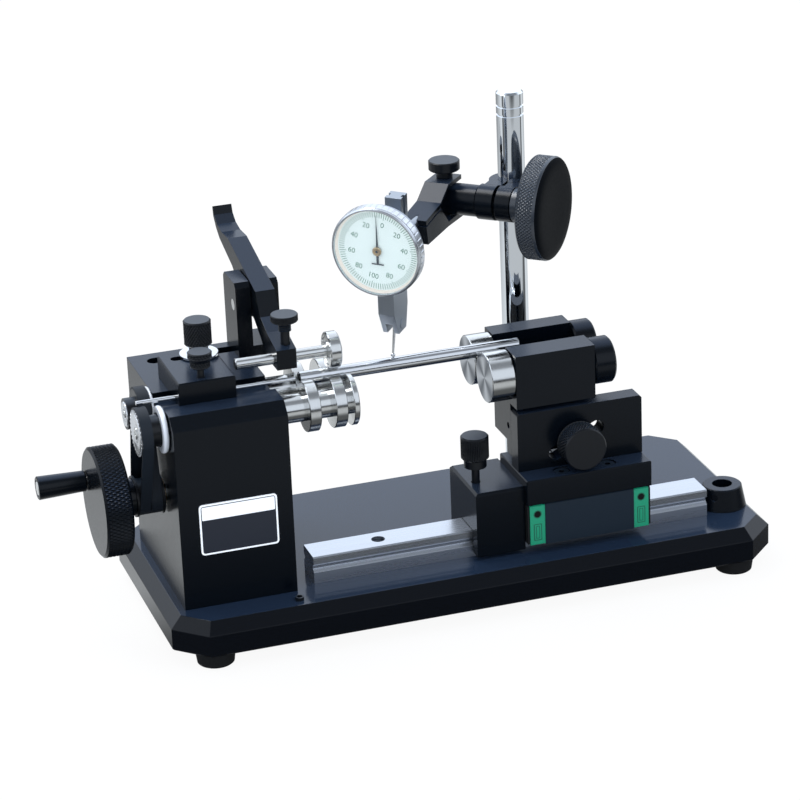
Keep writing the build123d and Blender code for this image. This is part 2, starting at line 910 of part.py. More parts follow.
def make_lever_fork():
    cheeks = ((fork_left, lever_left - body_gap), (lever_right + body_gap, fork_right))
    body = Part()
    for left, right in cheeks:
        cheek = block(left, right, fork_front, fork_back, head_height, fork_top)
        body += chamfer(cheek.faces().sort_by(Axis.Z)[-1].edges().filter_by(Axis.X), fork_bevel)
    body += block(fork_left, fork_right, fork_front, fork_back, head_height, fork_web_top)
    half = tongue_width / 2
    floor = head_height - head_slot_depth
    tongue = block(tongue_left, head_right, head_slot_y - half, head_slot_y + half, floor, tongue_top)
    tongue += block(fork_left, head_right, head_slot_y - half, head_slot_y + half, floor, head_height)
    seat = tongue_top - tongue_screw_head_height
    tongue -= rod_z(tongue_screw_x, head_slot_y, seat, tongue_top + overrun, tongue_screw_head_radius)
    tongue -= rod_z(tongue_screw_x, head_slot_y, floor - overrun, seat, tongue_screw_radius)
    body += tongue
    return body - rod_x(fork_left - overrun, fork_right + overrun, lever_y, lever_z, lever_pin_radius)


def make_lever_pin():
    return rod_x(fork_left, fork_right, lever_y, lever_z, lever_pin_radius)


def pulley_flange(y, z, left, thickness, radius):
    return rod_x(left, left + thickness, y, z, radius)


def make_front_pulley():
    left = front_belt_left - belt_side_gap
    teeth_right = front_belt_left + belt_width + belt_side_gap
    flange_right = head_left - body_gap
    body = rod_x(left, teeth_right, front_axis_y, spindle_z, spindle_pulley_radius)
    body += rod_x(teeth_right, flange_right - flange_thickness, front_axis_y, spindle_z, hub_radius)
    body += rod_x(flange_right - flange_thickness, flange_right, front_axis_y, spindle_z, flange_radius)
    return body - rod_x(left - overrun, head_left, front_axis_y, spindle_z, spindle_radius)


def make_rear_pulley():
    left = rear_belt_left - belt_side_gap
    teeth_right = rear_belt_left + belt_width + belt_side_gap
    flange_right = head_left - body_gap
    body = rod_x(left, teeth_right, rear_axis_y, spindle_z, spindle_pulley_radius)
    body += rod_x(rear_hub_left, left, rear_axis_y, spindle_z, hub_radius)
    body += rod_x(teeth_right, flange_right, rear_axis_y, spindle_z, flange_radius)
    return body - rod_x(rear_hub_left - overrun, head_left, rear_axis_y, spindle_z, spindle_radius)


def make_spindle(y, left, disc_left):
    body = rod_x(left, head_right + body_gap, y, spindle_z, spindle_radius)
    body += rod_x(head_right + body_gap, spindle_nose_end, y, spindle_z, nose_radius)
    for step in range(disc_count):
        start = disc_left + step * disc_pitch
        disc = rod_x(start, start + disc_width, y, spindle_z, roller_radius)
        body += chamfer(ends(disc, Axis.X), disc_bevel)
    return body


def make_front_spindle():
    body = make_spindle(front_axis_y, front_belt_left - belt_side_gap, front_disc_left)
    ring = rod_x(end_ring_left, spindle_nose_end, front_axis_y, spindle_z, roller_radius)
    return body + chamfer(ends(ring, Axis.X), disc_bevel)


def make_rear_spindle():
    return make_spindle(rear_axis_y, rear_hub_left, rear_disc_left)


def make_drive_pulley():
    left = front_belt_left - belt_side_gap
    right = rear_belt_left + belt_width + belt_side_gap
    body = rod_x(left, right, drive_y, drive_z, drive_pulley_radius)
    body += rod_x(left - drive_flange_thickness, left, drive_y, drive_z, drive_flange_radius)
    body += rod_x(right, right + drive_flange_thickness, drive_y, drive_z, drive_flange_radius)
    return body - rod_x(left - overrun, head_left, drive_y, drive_z, drive_shaft_radius)


def make_drive_shaft():
    right = head_left + drive_bush_length - body_gap
    return rod_x(shaft_left, right, drive_y, drive_z, drive_shaft_radius)


def make_handwheel():
    body = rod_x(wheel_left, wheel_right, drive_y, drive_z, wheel_radius)
    body = chamfer(ends(body, Axis.X), wheel_bevel)
    hub_right = front_belt_left - belt_side_gap - drive_flange_thickness
    body += rod_x(wheel_right, hub_right, drive_y, drive_z, wheel_hub_radius)
    body -= rod_x(shaft_left, hub_right + overrun, drive_y, drive_z, drive_shaft_radius)
    return body - rod_x(wheel_left - overrun, wheel_left + stud_grip, handle_y, handle_z, stud_radius)


def make_handle_stud():
    body = rod_x(handle_end, wheel_left + stud_grip, handle_y, handle_z, stud_radius)
    head = rod_x(handle_end, handle_end + stud_head_height, handle_y, handle_z, stud_head_radius)
    return body + chamfer(head.faces().sort_by(Axis.X)[0].edges(), edge_break)


def make_crank_handle():
    root = (wheel_left - body_gap, handle_y, handle_z)
    end = (handle_end, handle_y, handle_z)
    body = cone_between(root, end, handle_root_radius, handle_end_radius)
    body = chamfer(ends(body, Axis.X), edge_break)
    body -= rod_x(handle_end - overrun, wheel_left, handle_y, handle_z, stud_radius + running_fit)
    pocket_right = handle_end + stud_head_height + body_gap
    return body - rod_x(handle_end - overrun, pocket_right, handle_y, handle_z, stud_head_radius + body_gap)


def make_test_bar():
    body = rod_x(bar_left, bar_right, bar_y, bar_z, bar_radius)
    return chamfer(ends(body, Axis.X), edge_break)


def make_lever():
    outline = [
        (lever_nose_y, lever_nose_bottom),
        (lever_nose_y, lever_nose_top),
    ]
    outline += [(lever_y + y, lever_z + z) for y, z in lever_points]
    outline.append((lever_nose_back, lever_nose_bottom))
    body = prism_x(outline, lever_left, lever_right)
    body += rod_x(lever_left, lever_right, lever_y, lever_z, lever_boss_radius)
    left, right = lever_left - overrun, lever_right + overrun
    body -= rod_x(left, right, lever_y, lever_z, lever_pin_radius + running_fit)
    body -= rod_x(left, right, bar_y, press_rod_z, press_rod_radius + running_fit)
    screw_bore = lever_screw_radius + running_fit
    return body - rod_z(lever_screw_x, lever_screw_y, press_rod_z, fork_top, screw_bore)


def make_lever_thumbscrew():
    low = press_rod_z + press_rod_radius + body_gap
    top = lever_knob_bottom + lever_knob_height
    head = rod_z(lever_screw_x, lever_screw_y, lever_knob_bottom, top, lever_knob_radius)
    body = chamfer(ends(head, Axis.Z), edge_break)
    body += rod_z(lever_screw_x, lever_screw_y, lever_collar_bottom, lever_knob_bottom, lever_collar_radius)
    return body + rod_z(lever_screw_x, lever_screw_y, low, lever_collar_bottom, lever_screw_radius)


def make_pressure_rod():
    body = rod_x(press_rod_left, press_rod_right, bar_y, press_rod_z, press_rod_radius)
    body = chamfer(ends(body, Axis.X), edge_break)
    body += rod_x(bearing_left, bearing_right, bar_y, press_rod_z, bearing_inner_radius)
    left_ring = bearing_left - snap_ring_width
    right_ring = bearing_right + snap_ring_width
    body += rod_x(left_ring, bearing_left, bar_y, press_rod_z, snap_ring_radius)
    return body + rod_x(bearing_right, right_ring, bar_y, press_rod_z, snap_ring_radius)


def make_bearing_outer():
    body = rod_x(bearing_left, bearing_right, bar_y, press_rod_z, bearing_radius)
    body = chamfer(ends(body, Axis.X), edge_break)
    inside = bearing_radius - bearing_ring_wall
    body -= rod_x(bearing_left - overrun, bearing_right + overrun, bar_y, press_rod_z, inside)
    shield_bore = bearing_inner_radius + slide_fit
    first = bearing_left + bearing_shield_setback
    second = bearing_right - bearing_shield_setback - bearing_shield_thickness
    for left in (first, second):
        shield = rod_x(left, left + bearing_shield_thickness, bar_y, press_rod_z, inside)
        shield -= rod_x(left - overrun, left + overrun, bar_y, press_rod_z, shield_bore)
        body += shield
    return body


def make_stop_holder():
    body = block(holder_left, holder_right, holder_front, holder_back, holder_bottom, holder_top)
    body = chamfer(body.faces().sort_by(Axis.Z)[-1].edges(), holder_bevel)
    for x in (holder_slot_left + holder_slot_half, holder_slot_right - holder_slot_half):
        body -= rod_z(x, thumb_y, holder_bottom - overrun, holder_top + overrun, holder_slot_half)
    body -= block(
        holder_slot_left + holder_slot_half,
        holder_slot_right - holder_slot_half,
        thumb_y - holder_slot_half,
        thumb_y + holder_slot_half,
        holder_bottom - overrun,
        holder_top + overrun,
    )
    left, right, above = holder_left - overrun, holder_right + overrun, holder_top + overrun
    body -= rod_x(left, right, stop_rod_y, stop_rod_z, stop_rod_radius + running_fit)
    return body - rod_z(small_knob_x, stop_rod_y, stop_rod_z, above, small_stem_radius + running_fit)


def make_stop_thumbscrew():
    washer_top = washer_bottom + thumb_washer_thickness
    body = rod_z(thumb_x, thumb_y, thumb_stem_bottom, washer_bottom, thumb_stem_radius)
    body += rod_z(thumb_x, thumb_y, washer_bottom, washer_top, thumb_washer_radius)
    body += rod_z(thumb_x, thumb_y, washer_top, thumb_knob_bottom, thumb_collar_radius)
    knob = rod_z(thumb_x, thumb_y, thumb_knob_bottom, thumb_knob_top, thumb_knob_radius)
    return body + chamfer(ends(knob, Axis.Z), edge_break)


def make_stop_rod():
    body = rod_x(stop_rod_left, stop_rod_right, stop_rod_y, stop_rod_z, stop_rod_radius)
    return chamfer(ends(body, Axis.X), edge_break * sunk_share)


def make_rod_clamp_knob():
    low = stop_rod_z + stop_rod_radius + body_gap
    body = rod_z(small_knob_x, stop_rod_y, low, small_knob_bottom, small_stem_radius)
    start = (small_knob_x, stop_rod_y, small_knob_bottom)
    end = (small_knob_x, stop_rod_y, small_knob_top)
    knob = cone_between(start, end, small_knob_low_radius, small_knob_radius)
    return body + chamfer(knob.faces().sort_by(Axis.Z)[-1].edges(), edge_break)


def carriage_outline(inset):
    front = rail_y - carriage_width / 2 + inset
    back = rail_y + carriage_width / 2 - inset
    low = carriage_bottom + inset
    top = carriage_top - inset
    tunnel_front = rail_front - body_gap
    tunnel_back = rail_back + body_gap
    tunnel_top = rail_height + body_gap
    return [
        (front, low),
        (tunnel_front, low),
        (tunnel_front, tunnel_top),
        (tunnel_back, tunnel_top),
        (tunnel_back, low),
        (back, low),
        (back, top - carriage_chamfer),
        (back - carriage_chamfer, top),
        (front + carriage_chamfer, top),
        (front, top - carriage_chamfer),
    ]


def plate_screw_places():
    columns = (carriage_left + plate_screw_inset, carriage_right - plate_screw_inset)
    rows = (rail_y - plate_screw_spread, rail_y + plate_screw_spread)
    return [(x, y) for x in columns for y in rows]


def bracket_screw_places():
    y = (bracket_front + bracket_back) / 2
    columns = (bracket_left + bracket_screw_inset, tail_plate_right - bracket_screw_inset)
    return [(x, y) for x in columns]


def make_carriage_block():
    body = prism_x(carriage_outline(0), carriage_left, carriage_right)
    for x, y in plate_screw_places():
        body -= rod_z(x, y, carriage_top - plate_screw_grip, carriage_top + overrun, plate_screw_radius)
    return body


def make_carriage_end_caps():
    caps = []
    for left, right in ((cap_left, carriage_left), (carriage_right, cap_right)):
        cap = prism_x(carriage_outline(cap_inset), left, right)
        for side in (-cap_hole_spread, cap_hole_spread):
            cap -= rod_x(left - overrun, right + overrun, rail_y + side, cap_hole_z, cap_hole_radius)
        caps.append(cap)
    return Compound(children=caps)


def make_carriage_seals():
    seals = []
    for left, right in ((seal_left, cap_left), (cap_right, seal_right)):
        seals.append(prism_x(carriage_outline(seal_inset), left, right))
    return Compound(children=seals)


def make_carriage_plate():
    low, high = carriage_top, tail_plate_top
    body = block(tail_plate_left, tail_plate_right, tail_plate_front, tail_plate_back, low, high)
    body = chamfer(body.edges().filter_by(Axis.Z), edge_break)
    body = chamfer(body.faces().sort_by(Axis.Z)[-1].edges(), edge_break)
    seat = tail_plate_top - plate_screw_head_height
    head_bore = plate_screw_head_radius + rail_screw_clearance
    for x, y in plate_screw_places():
        body -= rod_z(x, y, seat, tail_plate_top + overrun, head_bore)
        body -= rod_z(x, y, carriage_top - overrun, seat, plate_screw_radius)
    screw_seat = carriage_top + plate_screw_head_height
    for x, y in bracket_screw_places():
        body -= rod_z(x, y, carriage_top - overrun, screw_seat, head_bore)
        body -= rod_z(x, y, screw_seat, tail_plate_top + overrun, plate_screw_radius)
    return body


def make_carriage_screws():
    screws = []
    seat = tail_plate_top - plate_screw_head_height
    grip = seat - carriage_top + plate_screw_grip
    for x, y in plate_screw_places():
        sizes = (plate_screw_head_radius, plate_screw_head_height - edge_break, plate_screw_radius, grip)
        screws.append(screw_down(x, y, seat, *sizes))
    screw_seat = carriage_top + plate_screw_head_height
    bracket_grip = tail_plate_top - screw_seat + bracket_screw_grip
    head_height_left = plate_screw_head_height - edge_break
    for x, y in bracket_screw_places():
        sizes = (plate_screw_head_radius, head_height_left, plate_screw_radius, bracket_grip)
        screws.append(screw_up(x, y, screw_seat, *sizes))
    return Compound(children=screws)


def make_tail_bracket():
    low, high = tail_plate_top, bracket_top
    body = block(bracket_left, tail_plate_right, bracket_front, bracket_back, low, high)
    body = chamfer(body.edges().filter_by(Axis.Y).sort_by(Axis.Z)[-2:], bracket_corner)
    front = bracket_front - overrun
    back = bracket_back + overrun
    for x, z in (slot_low, slot_high):
        body -= rod_y(x, front, back, z, slot_radius)
    reach_x = slot_high[0] - slot_low[0]
    reach_z = slot_high[1] - slot_low[1]
    reach = math.hypot(reach_x, reach_z)
    side_x = -slot_radius * reach_z / reach
    side_z = slot_radius * reach_x / reach
    corners = [
        (slot_low[0] + side_x, slot_low[1] + side_z),
        (slot_high[0] + side_x, slot_high[1] + side_z),
        (slot_high[0] - side_x, slot_high[1] - side_z),
        (slot_low[0] - side_x, slot_low[1] - side_z),
    ]
    body -= prism_y(corners, front, back)
    for x, y in bracket_screw_places():
        body -= rod_z(x, y, low - overrun, low + bracket_screw_grip, plate_screw_radius)
    return body


def make_rail_clamp_block():
    body = block(clamp_left, clamp_right, clamp_front, clamp_back, clamp_bottom, clamp_top)
    body = chamfer(body.faces().sort_by(Axis.Z)[-1].edges().sort_by(Axis.X)[:3], clamp_bevel)
    body -= block(
        clamp_left - overrun,
        clamp_right + overrun,
        rail_front - body_gap,
        rail_back + body_gap,
        clamp_bottom - overrun,
        rail_height + body_gap,
    )
    screw_bore = clamp_screw_radius + running_fit
    return body - rod_z(clamp_screw_x, rail_y, rail_height, clamp_top + overrun, screw_bore)


def make_rail_clamp_knob():
    body = rod_z(clamp_screw_x, rail_y, rail_height + body_gap, clamp_collar_bottom, clamp_screw_radius)
    body += rod_z(clamp_screw_x, rail_y, clamp_collar_bottom, clamp_knob_bottom, clamp_collar_radius)
    knob = rod_z(clamp_screw_x, rail_y, clamp_knob_bottom, clamp_knob_top, clamp_knob_radius)
    return body + chamfer(ends(knob, Axis.Z), edge_break)


def make_tail_head():
    face = bracket_back + slide_fit
    outline = [
        (bracket_front, tail_shoulder),
        (bracket_front, tail_top),
        (tail_upright_back, tail_top),
        (tail_upright_back, tail_channel_floor),
        (tail_rear_front, tail_channel_floor),
        (tail_rear_front, tail_top),
        (tail_rear_back, tail_top),
        (tail_rear_back, tail_rear_bottom),
        (tail_rear_front, tail_rear_bottom),
        (tail_rear_front, tail_block_bottom),
        (tail_tongue_back, tail_block_bottom),
        (tail_tongue_back, tail_tongue_bottom),
        (face, tail_tongue_bottom),
        (face, tail_shoulder),
    ]
    body = prism_x(outline, tail_left, tail_right)
    left, right = tail_left - overrun, tail_right + overrun
    for y in spindle_axes():
        body -= rod_x(left, right, y, spindle_z, tail_shaft_radius + running_fit)
    front, back = bracket_back - overrun, tail_stud_back + body_gap
    body -= rod_y(tail_knob_x, front, back, tail_knob_z, tail_stud_radius + running_fit)
    return body - rod_x(left, tail_left + set_screw_depth, set_screw_y, set_screw_z, set_screw_radius)


def make_tail_knob():
    knob = rod_y(tail_knob_x, tail_knob_front, tail_knob_back, tail_knob_z, tail_knob_radius)
    body = chamfer(ends(knob, Axis.Y), tail_knob_bevel)
    neck_back = bracket_front - body_gap
    body += rod_y(tail_knob_x, tail_knob_back, neck_back, tail_knob_z, tail_knob_neck_radius)
    return body + rod_y(tail_knob_x, neck_back, tail_stud_back, tail_knob_z, tail_stud_radius)


def make_tail_roller(y):
    body = rod_x(tail_roller_left, tail_roller_right, y, spindle_z, roller_radius)
    body = chamfer(ends(body, Axis.X), disc_bevel)
    rim = roller_radius - tail_roller_rim
    start = (tail_roller_left, y, spindle_z)
    end = (tail_roller_left + tail_roller_dish, y, spindle_z)
    body -= cone_between(start, end, rim, tail_shaft_radius)
    return body + rod_x(tail_roller_left, tail_cap_right, y, spindle_z, tail_shaft_radius)


def make_tail_cap(y):
    body = rod_x(tail_cap_left, tail_cap_right, y, spindle_z, tail_cap_radius)
    body = chamfer(ends(body, Axis.X), tail_cap_bevel)
    return body - rod_x(tail_cap_left - overrun, tail_cap_right + overrun, y, spindle_z, tail_shaft_radius)


def make_column():
    shoulder = socket_height + body_gap
    body = rod_z(column_x, column_y, shoulder, column_top, column_radius)
    body = chamfer(body.faces().sort_by(Axis.Z)[-1].edges(), column_chamfer)
    for drop in column_groove_drops:
        low = column_top - drop - column_groove_width / 2
        high = column_top - drop + column_groove_width / 2
        ring = rod_z(column_x, column_y, low, high, column_radius + overrun)
        body -= ring - rod_z(column_x, column_y, low, high, column_radius - column_groove_depth)
    return body + rod_z(column_x, column_y, body_gap, shoulder, socket_bore_radius - running_fit)


def along_clamp(low, high, radius):
    return rod_x(low, high, -screw_offset, 0, radius)


def make_post_clamp():
    half_height = strap_height / 2
    body = rod_z(0, 0, -half_height, half_height, strap_radius)
    body += block(-left_cheek_end, right_cheek_end, -screw_offset, 0, -half_height, half_height)
    body += along_clamp(-left_cheek_end, right_cheek_end, cheek_radius)
    body -= rod_z(0, 0, -strap_height, strap_height, column_radius + running_fit)
    reach = screw_offset + cheek_radius + overrun
    body -= block(-slit_half, slit_half, -reach, 0, -strap_height, strap_height)
    body -= along_clamp(-left_cheek_end - overrun, right_cheek_end + overrun, bolt_radius + running_fit)
    return clamp_frame * body


def make_clamp_knob():
    body = along_clamp(bolt_end, neck_start, bolt_radius)
    body += along_clamp(neck_start, neck_end, neck_radius)
    disc = along_clamp(big_knob_start, big_knob_rim_end, big_knob_radius)
    body += chamfer(ends(disc, Axis.X), big_knob_edge)
    start = (big_knob_rim_end, -screw_offset, 0)
    end = (big_knob_rim_end + big_knob_dome, -screw_offset, 0)
    dome_foot = big_knob_radius - big_knob_edge
    body += cone_between(start, end, dome_foot, dome_foot * sunk_share)
    return clamp_frame * body


def make_clamp_arm():
    body = along_clamp(-arm_end, -arm_start, arm_radius)
    body = chamfer(ends(body, Axis.X), edge_break)
    body -= along_clamp(bolt_end - body_gap, -arm_start + overrun, bolt_radius + running_fit)
    reach = arm_radius + overrun
    body -= rod_z(-swivel_offset, -screw_offset, -reach, reach, stud_bore_radius + running_fit)
    return clamp_frame * body


def strip_outline(top, thickness):
    under = [(y, z - thickness) for y, z in reversed(top)]
    return top + under


def jaw_grip():
    top_low, top_high = upper_jaw_drop, upper_jaw_end
    share = (jaw_grip_reach - top_low[0]) / (top_high[0] - top_low[0])
    height = top_low[1] + share * (top_high[1] - top_low[1]) - jaw_thickness
    return (0, -jaw_grip_reach, height)


def grip_ends():
    grip = swivel_frame * Pos(*jaw_grip())
    target = Vector(*grip.position)
    lift = dial_frame.to_local_coords(target)
    middle = -(case_back + indicator_back) / 2
    start = dial_frame.from_local_coords(Vector(0, lift.Y, middle))
    return start, target


def grip_stem():
    start, target = grip_ends()
    reach = target - start
    end = start + reach * ((reach.length + jaw_width / 2) / reach.length)
    return rod_between(tuple(start), tuple(end), stud_bore_radius)


def make_upper_jaw():
    top = [
        (upper_jaw_rear, upper_jaw_top),
        (-upper_jaw_bend, upper_jaw_top),
        (-upper_jaw_drop[0], upper_jaw_drop[1]),
        (-upper_jaw_end[0], upper_jaw_end[1]),
    ]
    body = prism_x(strip_outline(top, jaw_thickness), -jaw_width / 2, jaw_width / 2)
    body -= rod_z(0, 0, -arm_radius, upper_jaw_top + overrun, stud_bore_radius + running_fit)
    return swivel_frame * body - grip_stem()


def make_lower_jaw():
    outline = [(-y, z) for y, z in lower_jaw_path]
    body = prism_x(outline, -jaw_width / 2, jaw_width / 2)
    body -= rod_z(0, 0, -arm_radius - strap_height, 0, stud_bore_radius + running_fit)
    return swivel_frame * body - grip_stem()


def make_holder_knob():
    low = lower_jaw_path[0][1]
    body = rod_z(0, 0, low, upper_jaw_top + body_gap, stud_bore_radius)
    body += rod_z(0, 0, upper_jaw_top + body_gap, holder_knob_bottom, holder_collar_radius)
    knob = rod_z(0, 0, holder_knob_bottom, holder_knob_bottom + holder_knob_height, holder_knob_radius)
    body += chamfer(ends(knob, Axis.Z), edge_break)
    return swivel_frame * body


def make_indicator_body():
    outline = [
        (indicator_top, -case_back),
        (indicator_bottom, -case_back),
        (nose_bottom, -nose_front),
        (nose_bottom, -nose_back),
        (indicator_bottom, -indicator_back),
        (indicator_top, -indicator_back),
    ]
    left, right = -indicator_half_width, indicator_half_width
    body = prism_x(outline, left, right)
    lug = block(left, right, lug_low, lug_high, -lug_back, -lug_front)
    middle = -(lug_front + lug_back) / 2
    back, front = middle - lug_groove, middle + lug_groove
    for side in (left, right):
        low, high = lug_low - overrun, lug_high + overrun
        lug -= block(side - lug_groove, side + lug_groove, low, high, back, front)
    body += lug
    slot_top = stylus_eye_radius + body_gap - pivot_drop
    low, high = nose_bottom - overrun, -indicator_back - overrun
    body -= block(-stylus_slot_half, stylus_slot_half, low, slot_top, high, 0)
    body += rod_x(left, right, -pivot_drop, -pivot_depth, stylus_pin_radius)
    body += rod_x(right, right + pivot_cap_height, -pivot_drop, -pivot_depth, pivot_cap_radius)
    return dial_frame * body + (grip_stem() - dial_frame * body)


def make_indicator_case():
    body = rod_z(0, 0, -case_back, -case_front, case_radius)
    body += rod_z(0, 0, -case_front, -case_spigot_front, case_spigot_radius)
    body -= rod_z(0, 0, -case_back - overrun, overrun, arbor_radius + running_fit)
    return dial_frame * body


def make_bezel():
    body = rod_z(0, 0, -bezel_depth, 0, bezel_radius)
    body = chamfer(ends(body, Axis.Z), bezel_bevel)
    body -= rod_z(0, 0, -bezel_depth - overrun, overrun, bezel_seat_radius)
    body -= rod_z(0, 0, -face_depth - face_thickness, overrun, bezel_lip_radius)
    return dial_frame * body


def make_dial_face():
    body = rod_z(0, 0, -face_depth - face_thickness, -face_depth, bezel_lip_radius)
    return dial_frame * (body - rod_z(0, 0, -face_depth - overrun, overrun, arbor_radius + body_gap))


def make_dial_glass():
    return dial_frame * rod_z(0, 0, -glass_depth - glass_thickness, -glass_depth, bezel_lip_radius)


def make_pointer():
    plane_low = -pointer_depth - pointer_thickness
    blade = block(-pointer_half, pointer_half, -pointer_tail, 0, plane_low, -pointer_depth)
    tip = Polygon((-pointer_half, 0), (pointer_half, 0), (0, pointer_length), align=None)
    blade += extrude(Pos(0, 0, plane_low) * tip, pointer_thickness, dir=ALONG_Z)
    tail = pointer_tail - pointer_half
    blade += block(-pointer_cross_half, pointer_cross_half, -pointer_tail, -tail, plane_low, -pointer_depth)
    hub_top = -pointer_depth + pointer_hub_thickness
    body = blade + rod_z(0, 0, plane_low, hub_top, pointer_hub_radius)
    return dial_frame * (body + rod_z(0, 0, -case_front, plane_low, arbor_radius))


def stylus_ends():
    ball = dial_frame.to_local_coords(Vector(stylus_ball_x, bar_y, stylus_ball_z))
    return (0, -pivot_drop, -pivot_depth), (ball.X, ball.Y, ball.Z)


def make_stylus():
    pivot, ball = stylus_ends()
    eye = rod_x(-stylus_eye_half, stylus_eye_half, pivot[1], pivot[2], stylus_eye_radius)
    body = eye + cone_between(pivot, ball, stylus_root_radius, stylus_tip_radius)
    body += Pos(*ball) * Sphere(stylus_ball_radius)
    hole_end = stylus_eye_half + overrun
    body -= rod_x(-hole_end, hole_end, pivot[1], pivot[2], stylus_pin_radius + running_fit)
    return dial_frame * body


def write(node, shape):
    low = -base_thickness - foot_height
    middle_x = (handle_end + base_right) / 2
    middle_y = (base_front + rear_reach) / 2
    placed = Pos(-middle_x, -middle_y, -low) * shape
    export_step(placed, "parts/" + node + ".step")


os.makedirs("parts", exist_ok=True)
write("base_plate", make_base_plate())
write("rubber_feet", make_rubber_feet())
write("fixing_screws", make_fixing_screws())
write("guide_rail", make_guide_rail())
write("rail_screws", make_rail_screws())
write("headstock_block", make_headstock_block())
write("spindle_bushes", make_spindle_bushes())
write("label_plate", make_label_plate())
write("front_belt", make_belt(front_axis_y, front_belt_left))
write("rear_belt", make_belt(rear_axis_y, rear_belt_left))
write("front_socket", make_socket(front_socket_x, front_socket_y))
write("rear_socket", make_socket(column_x, column_y))
write("lever_fork", make_lever_fork())
write("lever_pin", make_lever_pin())
write("handwheel", make_handwheel())
write("drive_shaft", make_drive_shaft())
write("drive_pulley", make_drive_pulley())
write("handle_stud", make_handle_stud())
write("crank_handle", make_crank_handle())
write("front_spindle", make_front_spindle())
write("front_pulley", make_front_pulley())
write("rear_spindle", make_rear_spindle())
write("rear_pulley", make_rear_pulley())
write("test_bar", make_test_bar())
write("lever", make_lever())
write("lever_thumbscrew", make_lever_thumbscrew())
write("pressure_rod", make_pressure_rod())
write("bearing_outer", make_bearing_outer())
write("stop_holder", make_stop_holder())
write("stop_thumbscrew", make_stop_thumbscrew())
write("stop_rod", make_stop_rod())
write("rod_clamp_knob", make_rod_clamp_knob())
write("carriage_block", make_carriage_block())
write("carriage_end_caps", make_carriage_end_caps())
write("carriage_seals", make_carriage_seals())
write("carriage_plate", make_carriage_plate())
write("carriage_screws", make_carriage_screws())
write("tail_bracket", make_tail_bracket())
write("rail_clamp_block", make_rail_clamp_block())
write("rail_clamp_knob", make_rail_clamp_knob())
write("tail_head", make_tail_head())
write("tail_knob", make_tail_knob())
write("front_tail_roller", make_tail_roller(front_axis_y))
write("rear_tail_roller", make_tail_roller(rear_axis_y))
write("front_tail_cap", make_tail_cap(front_axis_y))
write("rear_tail_cap", make_tail_cap(rear_axis_y))
write("column", make_column())
write("post_clamp", make_post_clamp())
write("clamp_knob", make_clamp_knob())
write("clamp_arm", make_clamp_arm())
write("upper_jaw", make_upper_jaw())
write("lower_jaw", make_lower_jaw())
write("holder_knob", make_holder_knob())
write("indicator_body", make_indicator_body())
write("indicator_case", make_indicator_case())
write("bezel", make_bezel())
write("dial_face", make_dial_face())
write("dial_glass", make_dial_glass())
write("pointer", make_pointer())
write("stylus", make_stylus())
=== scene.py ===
import json
import math

import bpy
import numpy as np
from mathutils import Matrix, Vector

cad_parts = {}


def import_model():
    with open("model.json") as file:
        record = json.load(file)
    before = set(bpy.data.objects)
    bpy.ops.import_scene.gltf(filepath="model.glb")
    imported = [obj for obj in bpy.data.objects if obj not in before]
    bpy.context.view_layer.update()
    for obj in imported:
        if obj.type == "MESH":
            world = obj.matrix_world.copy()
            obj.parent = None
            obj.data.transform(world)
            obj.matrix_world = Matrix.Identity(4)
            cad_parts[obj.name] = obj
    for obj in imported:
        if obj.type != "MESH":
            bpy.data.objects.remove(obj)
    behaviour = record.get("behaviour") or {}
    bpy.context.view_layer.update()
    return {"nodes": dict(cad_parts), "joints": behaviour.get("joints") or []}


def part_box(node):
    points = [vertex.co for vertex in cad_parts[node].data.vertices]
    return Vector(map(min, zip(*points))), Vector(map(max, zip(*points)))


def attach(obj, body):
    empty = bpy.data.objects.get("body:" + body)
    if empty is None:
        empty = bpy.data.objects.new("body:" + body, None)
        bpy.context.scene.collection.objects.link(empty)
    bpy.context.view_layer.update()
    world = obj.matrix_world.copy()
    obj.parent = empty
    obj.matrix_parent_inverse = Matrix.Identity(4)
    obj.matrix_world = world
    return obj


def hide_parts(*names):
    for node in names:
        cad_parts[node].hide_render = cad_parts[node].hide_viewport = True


MM = 0.001
# The corner of the base plate from which the drawing's sizes run, in the shared frame.
CORNER = np.array((-111.2, -53.7, 22.0))
X_AXIS = (1.0, 0.0, 0.0)
Z_AXIS = (0.0, 0.0, 1.0)
TO_FRONT = (0.0, -1.0, 0.0)
WHOLE_TURN = 2 * math.pi

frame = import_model()
nodes = frame["nodes"]
joints = {joint["name"]: joint for joint in frame["joints"]}
bpy.context.scene.view_settings.view_transform = "Standard"


def world(points):
    """Drawing sizes in millimetres to metres in the shared frame."""
    return (np.atleast_2d(np.asarray(points, float)) + CORNER) * MM


def span(node):
    """The low and high corner of a node's box in drawing millimetres."""
    low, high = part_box(node)
    return np.asarray(low) / MM - CORNER, np.asarray(high) / MM - CORNER


def spot(joint):
    """The place of a joint in drawing millimetres."""
    return np.asarray(joints[joint]["pos_m"]) / MM - CORNER


# Materials

# Pattern sizes in millimetres. The real grains are too fine to show, so each is drawn coarser.
BLAST_GRAIN = 1.43
BLAST_PITS = 0.238
SCRATCH_WIDTH = 1.43
RUBBER_GRAIN = 0.667
MOULD_GRAIN = 1.11
BELT_GRAIN = 0.4
SATIN_GRAIN = 0.333
# How far a scratch is stretched along the metal, or a turned ring around it.
LENGTHWAYS = (0.02, 1.0, 1.0)
AROUND_X = (1.0, 0.05, 0.05)


def linear(code):
    """An sRGB hex code as linear colour."""
    values = [int(code[i : i + 2], 16) / 255 for i in (1, 3, 5)]
    return [v / 12.92 if v <= 0.04045 else ((v + 0.055) / 1.055) ** 2.4 for v in values] + [1]


